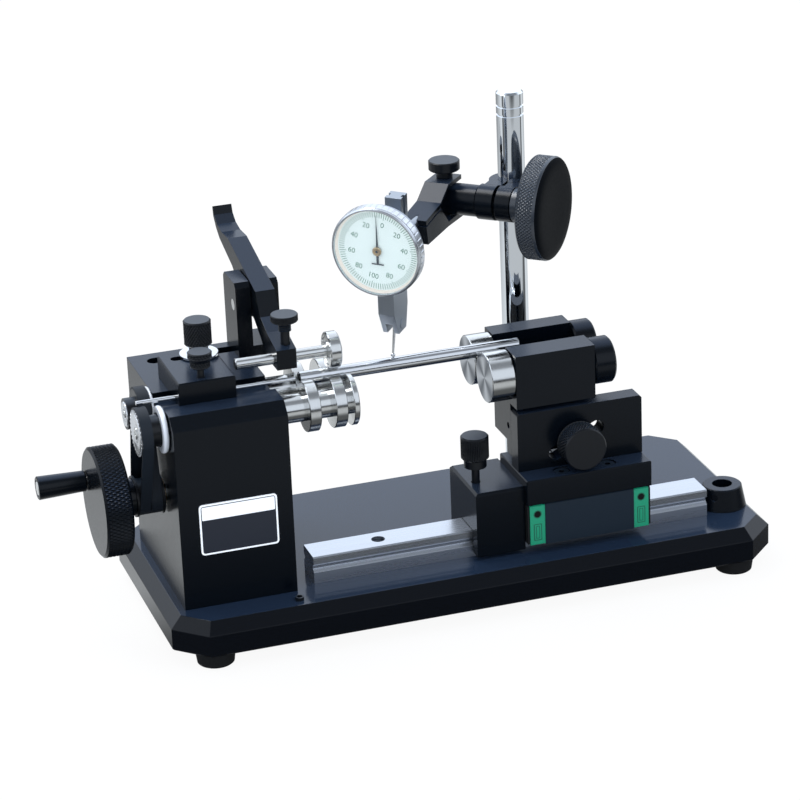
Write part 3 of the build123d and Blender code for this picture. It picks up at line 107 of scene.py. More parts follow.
def add_node(tree, kind, inputs=None, stops=(), **settings):
    """One node; inputs are values or other nodes' outputs, stops the places and levels of a ramp."""
    made = tree.nodes.new(kind)
    for key, value in settings.items():
        setattr(made, key, value)
    for key, value in (inputs or {}).items():
        if isinstance(value, bpy.types.NodeSocket):
            tree.links.new(value, made.inputs[key])
        else:
            made.inputs[key].default_value = value
    for _ in stops[2:]:
        made.color_ramp.elements.new(0.5)
    for (place, level), element in zip(stops, made.color_ramp.elements if stops else ()):
        element.position = place
        element.color = (level, level, level, 1)
    return made


class Surface:
    """A material with its shader and a short way to add nodes."""

    def __init__(self, name, color, metallic=0.0, roughness=0.5, **sockets):
        self.material = bpy.data.materials.new(name)
        self.material.use_nodes = True
        self.tree = self.material.node_tree
        self.shader = self.tree.nodes["Principled BSDF"]
        self.shader.inputs["Base Color"].default_value = linear(color)
        self.shader.inputs["Metallic"].default_value = metallic
        self.shader.inputs["Roughness"].default_value = roughness
        for socket, value in sockets.items():
            self.shader.inputs[socket].default_value = value

    def add(self, kind, inputs=None, **settings):
        return add_node(self.tree, "ShaderNode" + kind, inputs, **settings)

    def link(self, value, socket):
        self.tree.links.new(value, self.shader.inputs[socket])

    def grain(self, size, detail=2.0, stretch=(1, 1, 1)):
        """Noise with grains of a size in millimetres, stretched along each axis."""
        coordinates = self.add("TexCoord").outputs["Object"]
        place = self.add("Mapping", {"Vector": coordinates, "Scale": stretch}).outputs["Vector"]
        inputs = {"Vector": place, "Scale": 1 / (size * MM), "Detail": detail}
        return self.add("TexNoise", inputs).outputs["Fac"]

    def rough(self, pattern, low, high):
        """Roughness that runs between two levels over a pattern."""
        inputs = {"Value": pattern, "To Min": low, "To Max": high}
        self.link(self.add("MapRange", inputs).outputs["Result"], "Roughness")
        return self

    def relief(self, height, depth, strength=1.0, edge=0.0):
        """Bumps of a depth over edges of a radius, both in millimetres."""
        inputs = {"Height": height, "Distance": depth * MM, "Strength": strength}
        if edge:
            rounded_edge = self.add("Bevel", {"Radius": edge * MM}, samples=6)
            inputs["Normal"] = rounded_edge.outputs["Normal"]
        self.link(self.add("Bump", inputs).outputs["Normal"], "Normal")
        return self


def blackened(name, color, painted_top_sheen, low, high, edge, **sockets):
    """A dyed or oxidised black, nearly black on its sides and bevels; the blue grey on its flat tops is
    a painted reflection, mixed in by how far a face looks up.
    """
    made = Surface(name, color, **sockets)
    normal = made.add("NewGeometry").outputs["Normal"]
    upward = made.add("SeparateXYZ", {"Vector": normal}).outputs["Z"]
    # Painted reflection: the share of blue grey grows as a face turns up, and is the same from every
    # side.
    inputs = {"Value": upward, "From Min": 0.72, "From Max": 0.95, "To Max": 0.84}
    share = made.add("MapRange", inputs, interpolation_type="SMOOTHSTEP").outputs["Result"]
    painted_sheen_tone = made.add("MixRGB", {0: share, 1: linear(color), 2: linear(painted_top_sheen)})
    made.link(painted_sheen_tone.outputs["Color"], "Base Color")
    made.rough(made.grain(BLAST_GRAIN, 3.0), low, high)
    return made.relief(made.grain(BLAST_PITS, 1.0), depth=0.006, strength=0.3, edge=edge)


def ground(name, color, stretch, low, high, depth):
    """Ground or turned metal: fine scratches that all run one way."""
    made = Surface(name, color, metallic=1.0)
    scratches = made.grain(SCRATCH_WIDTH, 4.0, stretch)
    made.rough(scratches, low, high)
    return made.relief(scratches, depth, strength=0.4, edge=0.12)


# Hard anodised aluminium plate: a deep black that mirrors the pale room at a slant, with a painted blue
# grey reflection on its flat tops.
plate_black = blackened("Hard anodised base plate", "#04070d", "#233145", 0.1, 0.17, edge=0.5, IOR=1.35)
# Anodised aluminium, blasted first: a softer black, with a painted blue grey reflection on its flat
# tops.
block_black = blackened("Black anodised aluminium", "#03080f", "#202b3b", 0.2, 0.28, edge=0.3, IOR=1.31)
# Black oxide on turned steel: dull, with real light only on its knurls and edges, and a painted blue
# grey reflection on its flat tops.
knob_black = blackened("Black oxide steel", "#070b11", "#222d3a", 0.26, 0.36, edge=0.1, IOR=1.42)
# Moulded plastic: the plain face of the big knob, black with a faint sheen, real in its gloss and
# painted in blue grey where it faces up.
face_black = blackened("Moulded black plastic", "#070a0e", "#141a22", 0.4, 0.5, edge=0.1, IOR=1.1)
# Knurled plastic: the rim of the big knob, whose points catch the light, with a painted blue grey
# reflection where it faces up.
rim_black = blackened("Knurled black plastic", "#1c242e", "#3d4856", 0.24, 0.34, edge=0.1, IOR=1.75)
# Phosphated carriage steel: a dull blue black, with a painted blue grey reflection on its flat tops.
carriage_dark = blackened("Phosphated steel", "#15212c", "#2a3743", 0.3, 0.42, edge=0.2, IOR=1.35)
# Moulded rubber: no shine, soft edges.
rubber = Surface("Black rubber", "#0b0d10", roughness=0.62)
rubber.relief(rubber.grain(RUBBER_GRAIN), depth=0.03, strength=0.4, edge=0.3)
# Ground rail steel: pale, with long scratches.
rail_steel = ground("Ground rail steel", "#c9ced6", LENGTHWAYS, 0.2, 0.36, depth=0.01)
# Turned steel: rings around the axis that stretch the highlights.
turned_steel = ground("Turned steel", "#dcdddc", AROUND_X, 0.12, 0.24, depth=0.004)
# Polished bar steel: nearly a mirror, drawn lengthways.
bar_steel = ground("Polished bar steel", "#dfe1e4", LENGTHWAYS, 0.06, 0.12, depth=0.002)
# Chrome plate: the mirror of the column.
chrome = Surface("Chrome plate", "#e6eaee", metallic=1.0, roughness=0.04)
# Turned aluminium: whiter than the steel.
aluminium = ground("Turned aluminium", "#e3e6ea", AROUND_X, 0.16, 0.3, depth=0.005)
# Satin aluminium: the pale flanges beside the headstock.
satin_white = Surface("Satin aluminium", "#eef1f6", metallic=0.3, roughness=0.4)
# Sintered bronze: dull and porous.
bronze = Surface("Sintered bronze", "#a27c46", metallic=1.0, roughness=0.45)
# Copper: the small washers in the indicator's fork.
copper = Surface("Rolled copper", "#d98a55", metallic=1.0, roughness=0.25)
# Moulded acetal: the two end caps of the carriage, green with soft edges.
green = Surface("Green acetal", "#0b8c66", roughness=0.36)
green.relief(green.grain(MOULD_GRAIN), depth=0.02, strength=0.3, edge=0.2)
# The same acetal with painted shade, for its moulded steps, its middle line and the rim of its hole.
painted_shade_green = Surface("Shaded green acetal", "#075c43", roughness=0.5)
# Painted shade: a dark disc that stands for a deep hole in it, from which no light comes back.
painted_hole_shade = Surface("Painted hole shade", "#020303", roughness=0.9)
# Neoprene: the dull backs of the toothed belts.
belt_rubber = Surface("Neoprene belt", "#151d26", roughness=0.5, IOR=1.35)
belt_rubber.relief(belt_rubber.grain(BELT_GRAIN), depth=0.02, strength=0.4)
# Lacquered card and its printing inks.
card = Surface("Lacquered dial card", "#e6f1e9", roughness=0.6)
tick_ink = Surface("Green dial ink", "#3f7a5c", roughness=0.6)
dark_ink = Surface("Dark pointer lacquer", "#24333a", roughness=0.55)
# Gilt brass: the pointer's hub.
gilt = Surface("Gilt brass", "#e2c79c", metallic=1.0, roughness=0.3)
# Lacquered ring: the warm pale edge inside the bezel.
champagne = Surface("Pale lacquered ring", "#f3e6d6", roughness=0.3)
# Satin chrome: the bezel, bright but without a clear mirror.
satin_steel = Surface("Satin chrome", "#d9dde3", metallic=1.0, roughness=0.24)
satin_steel.relief(satin_steel.grain(SATIN_GRAIN), depth=0.01, strength=0.3, edge=0.2)
# Matt chrome: the body of the indicator, greyer than its bezel.
matt_chrome = Surface("Matt chrome", "#a9b0b9", metallic=1.0, roughness=0.36)
matt_chrome.relief(matt_chrome.grain(SATIN_GRAIN), depth=0.01, strength=0.3, edge=0.2)
# Printed aluminium foil: the label's field, and its unprinted white.
plate_ink = Surface("Printed dark foil", "#1d222d", roughness=0.35)
plate_white = Surface("Printed white foil", "#ffffff", roughness=0.4)
# Thin dial glass: only a faint reflection over the card.
glass = Surface("Dial glass", "#ffffff", roughness=0.0, IOR=1.45, Alpha=0.03)

LOOKS = {
    plate_black: "base_plate",
    block_black: "headstock_block lever_fork lever stop_holder carriage_plate tail_bracket "
    "rail_clamp_block tail_head front_socket rear_socket post_clamp clamp_arm front_tail_cap "
    "rear_tail_cap crank_handle handwheel upper_jaw lower_jaw",
    knob_black: "lever_thumbscrew stop_thumbscrew rod_clamp_knob rail_clamp_knob tail_knob "
    "fixing_screws carriage_screws holder_knob clamp_knob front_pulley rear_pulley drive_pulley "
    "rail_screws",
    rubber: "rubber_feet carriage_seals",
    belt_rubber: "front_belt rear_belt",
    rail_steel: "guide_rail",
    carriage_dark: "carriage_block",
    turned_steel: "front_spindle rear_spindle lever_pin drive_shaft handle_stud pressure_rod "
    "bearing_outer front_tail_roller rear_tail_roller",
    bar_steel: "test_bar stop_rod stylus",
    chrome: "column",
    satin_steel: "bezel",
    matt_chrome: "indicator_body indicator_case",
    bronze: "spindle_bushes",
    green: "carriage_end_caps",
    card: "dial_face",
    dark_ink: "pointer",
    glass: "dial_glass",
    plate_ink: "label_plate",
}
SHARP_NODE_EDGE = math.radians(28)
for surface, names in LOOKS.items():
    for name in names.split():
        mesh = nodes[name].data
        mesh.materials.clear()
        mesh.materials.append(surface.material)
        mesh.shade_smooth()
        mesh.set_sharp_from_angle(angle=SHARP_NODE_EDGE)

# Shapes


def piece(name, points, faces, surface, body, cad=(), basis=None):
    """A mesh in drawing millimetres, riding on a body of the part."""
    if basis is not None:
        points = basis(points)
    mesh = bpy.data.meshes.new(name)
    mesh.from_pydata(world(points).tolist(), [], [list(f) for f in faces])
    mesh.validate()
    made = bpy.data.objects.new(name, mesh)
    bpy.context.scene.collection.objects.link(made)
    mesh.materials.append(surface.material)
    mesh.shade_smooth()
    mesh.set_sharp_from_angle(angle=math.radians(35))
    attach(made, body)
    if cad:
        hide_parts(*cad)
    return made


def axes(origin, along, across=(0.0, 0.0, 1.0)):
    """Turns local x, y, z into drawing millimetres, with local z along an axis."""
    z = np.asarray(along, float) / np.linalg.norm(along)
    x = np.asarray(across, float) - z * np.dot(across, z)
    if np.linalg.norm(x) < 1e-6:
        x = np.cross(z, (0.0, 1.0, 0.0))
    x = x / np.linalg.norm(x)
    turn = np.array((x, np.cross(z, x), z))
    return lambda points: np.asarray(points, float) @ turn + np.asarray(origin, float)


def ridge(value):
    """A wave of straight slopes from 0 at whole numbers to 1 between them."""
    return 1 - np.abs(2 * (value - np.floor(value)) - 1)


def diamond(count, pitch, depth):
    """A knurl of crossing grooves: their number around, their pitch along and their depth."""

    def height(angle, along):
        turn = angle * count / WHOLE_TURN
        both = np.minimum(ridge(turn + along / pitch), ridge(turn - along / pitch))
        return -depth * (1 - np.clip(both * 1.25, 0, 1))

    return height


def straight(count, depth):
    """A knurl of grooves along the axis."""

    def height(angle, along):
        return -depth * (1 - np.clip(ridge(angle * count / WHOLE_TURN) * 1.35, 0, 1)) + along * 0

    return height


def lathe(profile, segments):
    """Turns a profile of (z, radius, steps, knurl) rows; each row's knurl covers the span that it ends.
    A profile that ends on its first row is a ring, any other is closed by flat ends."""
    angle = np.linspace(0, WHOLE_TURN, segments, endpoint=False)
    rings = [(profile[0][0], np.full(segments, profile[0][1]))]
    for last, row in zip(profile, profile[1:]):
        z, radius, steps, knurl = row
        for step in range(1, steps + 1):
            share = step / steps
            height = last[0] + (z - last[0]) * share
            size = np.full(segments, last[1] + (radius - last[1]) * share)
            if knurl is not None and step < steps:
                size = size + knurl(angle, np.full(segments, height))
            rings.append((height, size))
    ring_shaped = profile[0][:2] == profile[-1][:2]
    if ring_shaped:
        rings.pop()
    cos, sin = np.cos(angle), np.sin(angle)
    points = [(r * c, r * s, z) for z, size in rings for r, c, s in zip(size, cos, sin)]
    faces = []
    for ring in range(len(rings) if ring_shaped else len(rings) - 1):
        low, high = ring * segments, (ring + 1) % len(rings) * segments
        for i in range(segments):
            j = (i + 1) % segments
            faces.append((low + i, low + j, high + j, high + i))
    if not ring_shaped:
        faces.append(tuple(reversed(range(segments))))
        faces.append(tuple(range((len(rings) - 1) * segments, len(rings) * segments)))
    return points, faces


def knob(name, profile, segments, origin, along, surface, body, cad=()):
    """A turned piece: its profile around an axis through a place."""
    points, faces = lathe(profile, segments)
    return piece(name, points, faces, surface, body, cad, basis=axes(origin, along))


def rows(*pairs):
    """Plain profile rows from z, radius pairs."""
    return [(z, radius, 1, None) for z, radius in pairs]


def turned_head(z_start, z_end, radius, knurl, steps, chamfer):
    """A knurled head with chamfered ends, from one height to the next."""
    # The knurl's crests stay just inside the chamfers.
    crest = radius - 0.05
    return [
        (z_start, radius - chamfer, 1, None),
        (z_start + chamfer, crest, 1, None),
        (z_end - chamfer, crest, steps, knurl),
        (z_end, radius - chamfer, 1, None),
    ]


def prism(outline, low, high):
    """An outline in local x, y between two heights."""
    count = len(outline)
    points = [(x, y, z) for z in (low, high) for x, y in outline]
    faces = [tuple(reversed(range(count))), tuple(range(count, 2 * count))]
    faces += [(i, (i + 1) % count, (i + 1) % count + count, i + count) for i in range(count)]
    return points, faces


def rounded(left, right, low, high, corner, steps=8):
    """The outline of a rectangle with round corners."""
    centres = (
        (right - corner, low + corner),
        (right - corner, high - corner),
        (left + corner, high - corner),
        (left + corner, low + corner),
    )
    outline = []
    for quarter, (x, y) in enumerate(centres):
        for step in range(steps + 1):
            turn = math.radians(90 * (quarter - 1 + step / steps))
            outline.append((x + corner * math.cos(turn), y + corner * math.sin(turn)))
    return outline


# Knurled knobs


def make_handwheel():
    """The crank's wheel: a knurled rim on a plain hub."""
    rim_width = 12.0
    chamfer_width = 0.9
    chamfer_drop = 1.1
    hub_radius = 8.0
    hub_end_radius = 4.0
    low, high = span("handwheel")
    radius = (high[2] - low[2]) / 2
    length = high[0] - low[0]
    knurl = diamond(84, pitch=3.2, depth=0.75)
    profile = rows((0, radius - chamfer_drop), (chamfer_width, radius))
    profile += [(rim_width - chamfer_width, radius, 56, knurl)]
    profile += rows((rim_width, radius - chamfer_drop), (rim_width, hub_radius))
    profile += rows((length, hub_radius), (length, hub_end_radius))
    place = spot("crank_turn")
    knob("handwheel_knurled", profile, 504, place, X_AXIS, block_black, "crank", ["handwheel"])


def make_lever_screw():
    """The lever's thumbscrew: a flat head on a stem with thread turns."""
    stem_radius = 2.0
    thread_length = 4.5
    thread_radius = 2.8
    thread_core = 2.3
    pitch = 0.75
    # Where a thread's crest starts and ends and where its core is reached, in shares of the pitch.
    crest_start_share, crest_end_share, core_share = 0.2 / 0.75, 0.45 / 0.75, 0.7 / 0.75
    low, high = span("lever_thumbscrew")
    x, y, bottom = spot("lever_screw_turn")
    radius = (high[0] - low[0]) / 2
    profile = rows((low[2], stem_radius), (bottom - thread_length, stem_radius))
    for turn in range(6):
        start = bottom - thread_length + turn * pitch
        profile += rows(
            (start + crest_start_share * pitch, thread_radius),
            (start + crest_end_share * pitch, thread_radius),
            (start + core_share * pitch, thread_core),
        )
    profile += turned_head(bottom, high[2], radius, straight(60, depth=0.28), 3, chamfer=0.35)
    name = "lever_thumbscrew_knurled"
    cad = ["lever_thumbscrew"]
    knob(name, profile, 360, (x, y, 0), Z_AXIS, knob_black, "lever_screw", cad)


def make_stop_thumbscrew():
    """The stop holder's thumbscrew with its bright washer."""
    stem_radius = 2.0
    collar_radius = 4.2
    head_radius = 6.1
    washer_drop = 4.9
    washer_thickness = 1.3
    washer_radius = 8.5
    washer_chamfer = 0.2
    washer_gap = 0.05
    low, high = span("stop_thumbscrew")
    x, y, bottom = spot("holder_screw_turn")
    washer = bottom - washer_drop
    washer_top = washer + washer_thickness
    profile = rows((low[2], stem_radius), (washer_top, stem_radius))
    profile += rows((washer_top, collar_radius), (bottom, collar_radius))
    knurl = diamond(28, pitch=1.9, depth=0.5)
    profile += turned_head(bottom, high[2], head_radius, knurl, 30, chamfer=0.6)
    name = "stop_thumbscrew_knurled"
    cad = ["stop_thumbscrew"]
    knob(name, profile, 272, (x, y, 0), Z_AXIS, knob_black, "holder_screw", cad)
    inner = stem_radius + washer_gap
    edge = washer_radius - washer_chamfer
    profile = rows((washer, inner), (washer, edge), (washer + washer_chamfer, washer_radius))
    profile += rows((washer_top - washer_chamfer, washer_radius), (washer_top, edge))
    profile += rows((washer_top, inner), (washer, inner))
    knob("stop_washer", profile, 96, (x, y, 0), Z_AXIS, aluminium, "holder_screw")


def make_rod_clamp_knob():
    """The small flared knob that holds the stop rod."""
    stem_radius = 1.5
    foot_radius = 3.9
    waist_radius = 4.3
    waist_height = 0.5
    flare_start = 3.4
    flare_start_radius = 4.5
    flare_end_drop = 2.6
    flare_end_radius = 5.25
    head_radius = 5.3
    top_radius = 4.8
    top_chamfer = 0.5
    low, high = span("rod_clamp_knob")
    x, y, bottom = spot("stop_screw_turn")
    top = high[2]
    knurl = diamond(22, pitch=1.7, depth=0.42)
    profile = rows((low[2], stem_radius), (bottom, stem_radius), (bottom, foot_radius))
    profile += rows((bottom + waist_height, waist_radius))
    profile += [
        (bottom + flare_start, flare_start_radius, 8, knurl),
        (top - flare_end_drop, flare_end_radius, 3, None),
        (top - top_chamfer, head_radius, 6, knurl),
        (top, top_radius, 1, None),
    ]
    name = "rod_clamp_knurled"
    cad = ["rod_clamp_knob"]
    knob(name, profile, 208, (x, y, 0), Z_AXIS, knob_black, "stop_screw", cad)


def make_rail_clamp_knob():
    """The tall screw of the rail clamp, grooved along its head."""
    stem_radius = 1.8
    collar_radius = 5.0
    collar_height = 3.8
    head_radius = 6.25
    low, high = span("rail_clamp_knob")
    x, y, bottom = spot("carriage_screw_turn")
    profile = rows((low[2], stem_radius), (bottom - collar_height, stem_radius))
    profile += rows((bottom - collar_height, collar_radius), (bottom, collar_radius))
    profile += turned_head(bottom, high[2], head_radius, straight(48, depth=0.4), 4, chamfer=0.6)
    name = "rail_clamp_knurled"
    cad = ["rail_clamp_knob"]
    knob(name, profile, 288, (x, y, 0), Z_AXIS, knob_black, "carriage_screw", cad)


def make_tail_knob():
    """The big screw in front of the tail bracket."""
    stem_radius = 2.5
    collar_radius = 5.0
    # Where the collar and the head start, in front of the drawing's corner.
    collar_start = -8.9
    head_start = -7.9
    low, high = span("tail_knob")
    x, front, z = spot("tail_screw_turn")
    radius = (high[0] - low[0]) / 2
    profile = rows((-high[1], stem_radius), (collar_start, stem_radius))
    profile += rows((collar_start, collar_radius), (head_start, collar_radius))
    knurl = diamond(40, pitch=2.2, depth=0.6)
    profile += turned_head(head_start, -front, radius, knurl, 32, chamfer=0.6)
    cad = ["tail_knob"]
    place = (x, 0, z)
    knob("tail_knurled", profile, 368, place, TO_FRONT, knob_black, "tail_screw", cad)


def make_clamp_knob():
    """The big knob of the post clamp: a knurled rim and a plain, slightly domed face."""
    bolt_radius = 3.0
    bolt_end = -15.0
    collar_start = 7.8
    collar_radius = 7.4
    rim_start = 15.9
    rim_end = 24.2
    rim_radius = 22.9
    edge_start = 24.8
    edge_radius = 22.7
    face_start = 25.3
    face_radius = 22.3
    face_depth = 1.3
    # The rounding before the rim and the dome of the face, in shares of the rim's radius
    # and, along the axis, of the face's depth.
    rounding_shares = ((0.0, 0.9345), (0.3077, 0.9738), (0.7692, 1.0))
    dome_shares = ((0.3846, 0.9432), (0.6923, 0.8996), (0.9231, 0.8297))
    dome_shares += ((1.0, 0.6987), (0.8462, 0.4367), (0.7692, 0.0218))
    start = spot("clamp_screw_turn")
    along = joints["clamp_screw_turn"]["axis"]
    profile = rows((bolt_end, bolt_radius), (collar_start, bolt_radius))
    profile += rows((collar_start, collar_radius), (rim_start, collar_radius))
    profile += rows(*[(rim_start + z * face_depth, r * rim_radius) for z, r in rounding_shares])
    profile += [(rim_end, rim_radius, 30, diamond(96, pitch=1.9, depth=0.5))]
    profile += rows((edge_start, edge_radius), (face_start, face_radius))
    body, slot = "clamp_screw", "black_plastic"
    knob("clamp_knob_knurled", profile, 720, start, along, rim_black, body, ["clamp_knob"])
    face = rows((face_start, face_radius))
    face += rows(*[(face_start + z * face_depth, r * rim_radius) for z, r in dome_shares])
    knob("clamp_knob_face", face, 192, start, along, face_black, body)


# Pulleys


def toothed(count, root, tip):
    """The outline of a pulley with straight-sided teeth."""
    # Where a tooth's foot and tip lie, in shares of the pitch.
    foot_share, tip_share = 0.32, 0.2
    outline = []
    for tooth in range(count):
        corners = ((-foot_share, root), (-tip_share, tip), (tip_share, tip), (foot_share, root))
        for share, radius in corners:
            turn = WHOLE_TURN * (tooth + share) / count
            outline.append((radius * math.cos(turn), radius * math.sin(turn)))
    return outline


def make_toothed_face(body, place, start):
    """The bright toothed end of the front pulley, inside its belt."""
    root = 8.8
    tip = 10.1
    proud = 0.2
    seat = 0.1
    points, faces = prism(toothed(32, root, tip), start - proud, start + seat)
    basis = axes(place, X_AXIS)
    piece(body + "_toothed_face", points, faces, aluminium, body, basis=basis)


def make_pulley_end(body, place, start, radius):
    """The bright end of a pulley: a shallow ring around a small boss."""
    seat = 0.1
    ring_proud = 0.3
    ring_ridge_proud = 0.35
    recess_proud = 0.15
    recess_edge_proud = 0.25
    # The ring's and the boss's radii in shares of the pulley end's.
    recess_share, recess_edge_share, ridge_share = 0.34, 0.49, 0.52
    ring_share, ring_foot_share = 0.84, 0.87
    boss_share, boss_foot_share = 0.24, 0.27
    ridge_row = (start - ring_ridge_proud, ridge_share * radius)
    face = rows(ridge_row, (start - ring_proud, ring_share * radius))
    face += rows((start + seat, ring_foot_share * radius), (start + seat, recess_share * radius))
    face += rows((start - recess_proud, recess_share * radius))
    face += rows((start - recess_edge_proud, recess_edge_share * radius), ridge_row)
    knob(body + "_pulley_face", face, 96, place, X_AXIS, aluminium, body)
    bore = 1.0
    boss_proud = 0.5
    boss_foot_proud = 0.3
    foot = boss_foot_share * radius
    boss = rows((start - boss_proud, bore), (start - boss_proud, boss_share * radius))
    boss += rows((start - boss_foot_proud, foot), (start + seat, foot))
    boss += rows((start + seat, bore), (start - boss_proud, bore))
    knob(body + "_centre", boss, 64, place, X_AXIS, turned_steel, body)


def make_flange(body, place, end, width):
    """The pale rounded flange between a pulley and the headstock."""
    bore = 7.4
    radius = 10.3
    # The round of the flange, in shares of its width from the headstock and of its radius.
    round_shares = ((1.0, 0.8932), (0.92, 0.9515), (0.73, 0.9854), (0.5, 1.0))
    round_shares += ((0.27, 0.9854), (0.08, 0.9515), (0.02, 0.8932))
    outer = [(end - z * width, r * radius) for z, r in round_shares]
    ring = rows((outer[0][0], bore), *outer, (outer[-1][0], bore), (outer[0][0], bore))
    knob(body + "_flange", ring, 128, place, X_AXIS, satin_white, body)


def make_pulley_faces():
    """The ends and flanges of both spindle pulleys."""
    front_face_radius = 10.0
    rear_face_radius = 6.4
    front_flange_width = 2.6
    rear_flange_width = 1.5
    sizes = {
        "front": (front_face_radius, front_flange_width),
        "rear": (rear_face_radius, rear_flange_width),
    }
    for side, (radius, width) in sizes.items():
        body = side + "_roll"
        low, high = span(side + "_pulley")
        hub = spot(body + "_turn")
        place = (0, hub[1], hub[2])
        if side == "front":
            make_toothed_face(body, place, low[0])
        make_pulley_end(body, place, low[0], radius)
        make_flange(body, place, high[0], width)


# Turned faces of the tail rollers


def turned_face(name, centre):
    """Faced steel, with fans of light and dark around the centre painted into its base colour as painted
    highlights, fixed to the roller.
    """
    made = Surface(name, "#c8ccd0", metallic=1.0)
    parts = made.add("SeparateXYZ", {"Vector": made.add("TexCoord").outputs["Object"]}).outputs
    offsets = [
        made.add("Math", {0: parts[axis], 1: value}, operation="SUBTRACT").outputs["Value"]
        for axis, value in (("Z", centre[2]), ("Y", centre[1]))
    ]
    turn = made.add("Math", {0: offsets[0], 1: offsets[1]}, operation="ARCTAN2").outputs["Value"]
    # Four painted highlight fans, turned so that one points to the upper left.
    fans = made.add("Math", {0: turn, 1: 4.0, 2: 0.9}, operation="MULTIPLY_ADD").outputs["Value"]
    wave = made.add("Math", {0: fans}, operation="COSINE").outputs["Value"]
    share = made.add("MapRange", {"Value": wave, "From Min": -1.0}).outputs["Result"]
    # Painted shade and painted highlight: the dark and the light of the fans.
    painted_sheen_tone = made.add("MixRGB", {0: share, 1: linear("#666c74"), 2: linear("#c9cdd2")})
    made.link(painted_sheen_tone.outputs["Color"], "Base Color")
    return made.rough(made.grain(MOULD_GRAIN), 0.3, 0.4)


def make_roller_faces():
    """A thin faced disc on the left end of each tail roller, with painted highlight fans."""
    proud = 0.05
    seat = 0.1
    centre_hole = 0.4
    front_inset = 0.5
    foot_inset = 0.35
    for side in ("front", "rear"):
        node = side + "_tail_roller"
        body = "tail_" + side + "_roll"
        x, y, z = spot("tail_" + side + "_turn")
        faced = turned_face(node + "_faced_steel_painted_fans", world((x, y, z))[0])
        low, high = span(node)
        radius = (high[2] - low[2]) / 2
        left = low[0]
        face = rows((left - proud, centre_hole), (left - proud, radius - front_inset))
        face += rows((left + seat, radius - foot_inset))
        knob(node + "_face", face, 128, (0, y, z), X_AXIS, faced, body)


# Carriage end caps and label plate

FACING_FRONT = axes((0, 0, 0), TO_FRONT, X_AXIS)


def front_layer(name, outline, back, front, surface, body, cad=()):
    """A flat layer whose outline in x and z faces the front."""
    points, faces = prism(outline, back, front)
    return piece(name, points, faces, surface, body, cad, basis=FACING_FRONT)


def around(x, z, radius):
    """A circle's outline."""
    turns = np.linspace(0, WHOLE_TURN, 40, endpoint=False)
    return [(x + radius * math.cos(turn), z + radius * math.sin(turn)) for turn in turns]


def make_cap_details(name, left, right, low, high, front):
    """The hole of one green cap, drawn as a dark disc of painted shade in a ring of painted shade, and
    the stepped panel below it.
    """
    hole_radius = 1.45
    rim_radius = 1.885
    hole_drop_share = 0.24
    panel_top_share, panel_bottom_share = 0.52, 0.1
    panel_half = 1.9
    layer_back = 0.3
    # The frame and the middle line are painted shade in the green.
    # Each step of the panel: inset from the sides, inset from top and bottom, corner, height.
    steps = {
        "_frame": (0.0, 0.0, 0.5, 0.02, painted_shade_green),
        "_panel": (0.4, 0.4, 0.3, 0.06, green),
        "_panel_line": (1.0, 1.0, 0.2, 0.08, painted_shade_green),
        "_panel_core": (1.3, 1.3, 0.2, 0.1, green),
    }
    middle = (left + right) / 2
    height = high - low
    hole_z = high - height * hole_drop_share
    top, bottom = low + height * panel_top_share, low + height * panel_bottom_share
    back = front - layer_back
    # The hole and its rim are painted shade, not a cut hole.
    layers = {
        "_hole_rim": (around(middle, hole_z, rim_radius), 0.02, painted_shade_green),
        "_hole": (around(middle, hole_z, hole_radius), 0.04, painted_hole_shade),
    }
    for part, (side_inset, end_inset, corner, proud, surface) in steps.items():
        half = panel_half - side_inset
        outline = rounded(middle - half, middle + half, bottom + end_inset, top - end_inset, corner)
        layers[part] = (outline, proud, surface)
    for part, (outline, proud, surface) in layers.items():
        front_layer(name + part, outline, back, front + proud, surface, "carriage")


def make_caps():
    """Both green end caps' details."""
    low, high = span("carriage_end_caps")
    block_low, block_high = span("carriage_block")
    make_cap_details("left_cap", low[0], block_low[0], low[2], high[2], -low[1])
    make_cap_details("right_cap", block_high[0], high[0], low[2], high[2], -low[1])


def make_label():
    """The blank label: a white rim around a dark field with a white band at its top."""
    corner = 1.6
    rim_width = 0.75
    field_corner = 1.0
    field_proud = 0.03
    band_inset = 1.1
    band_corner = 0.5
    band_proud = 0.06
    band_share = 0.31
    (left, face_y, bottom), (right, back_y, top) = span("label_plate")
    back, front = -back_y, -face_y

    def layer(name, outline, surface, proud, cad=()):
        front_layer(name, outline, back, front + proud, surface, "base", cad)

    rim = rounded(left, right, bottom, top, corner)
    layer("label_rim", rim, plate_white, 0.0, ["label_plate"])
    inner = (left + rim_width, right - rim_width, bottom + rim_width, top - rim_width)
    layer("label_field", rounded(*inner, field_corner), plate_ink, field_proud)
    low = top - (top - bottom) * band_share
    band = rounded(left + band_inset, right - band_inset, low, top - band_inset, band_corner)
    layer("label_band", band, plate_white, band_proud)


# Dial

# All heights are measured from the glass's front, back into the dial.
BEZEL_RADIUS = 20.4
BEZEL_DEPTH = 5.6
BEZEL_LIP = 19.0
BEZEL_SEAT = 17.9
CARD_DEPTH = 2.7
INK_HEIGHT = -CARD_DEPTH + 0.02
SCALE_TURN = math.radians(12.0)


def on_dial():
    """Turns places on the dial into drawing millimetres, with z out of the card."""
    across = -np.asarray(joints["feeler_swing"]["axis"])
    return axes(spot("dial_turn"), joints["dial_turn"]["axis"], across)


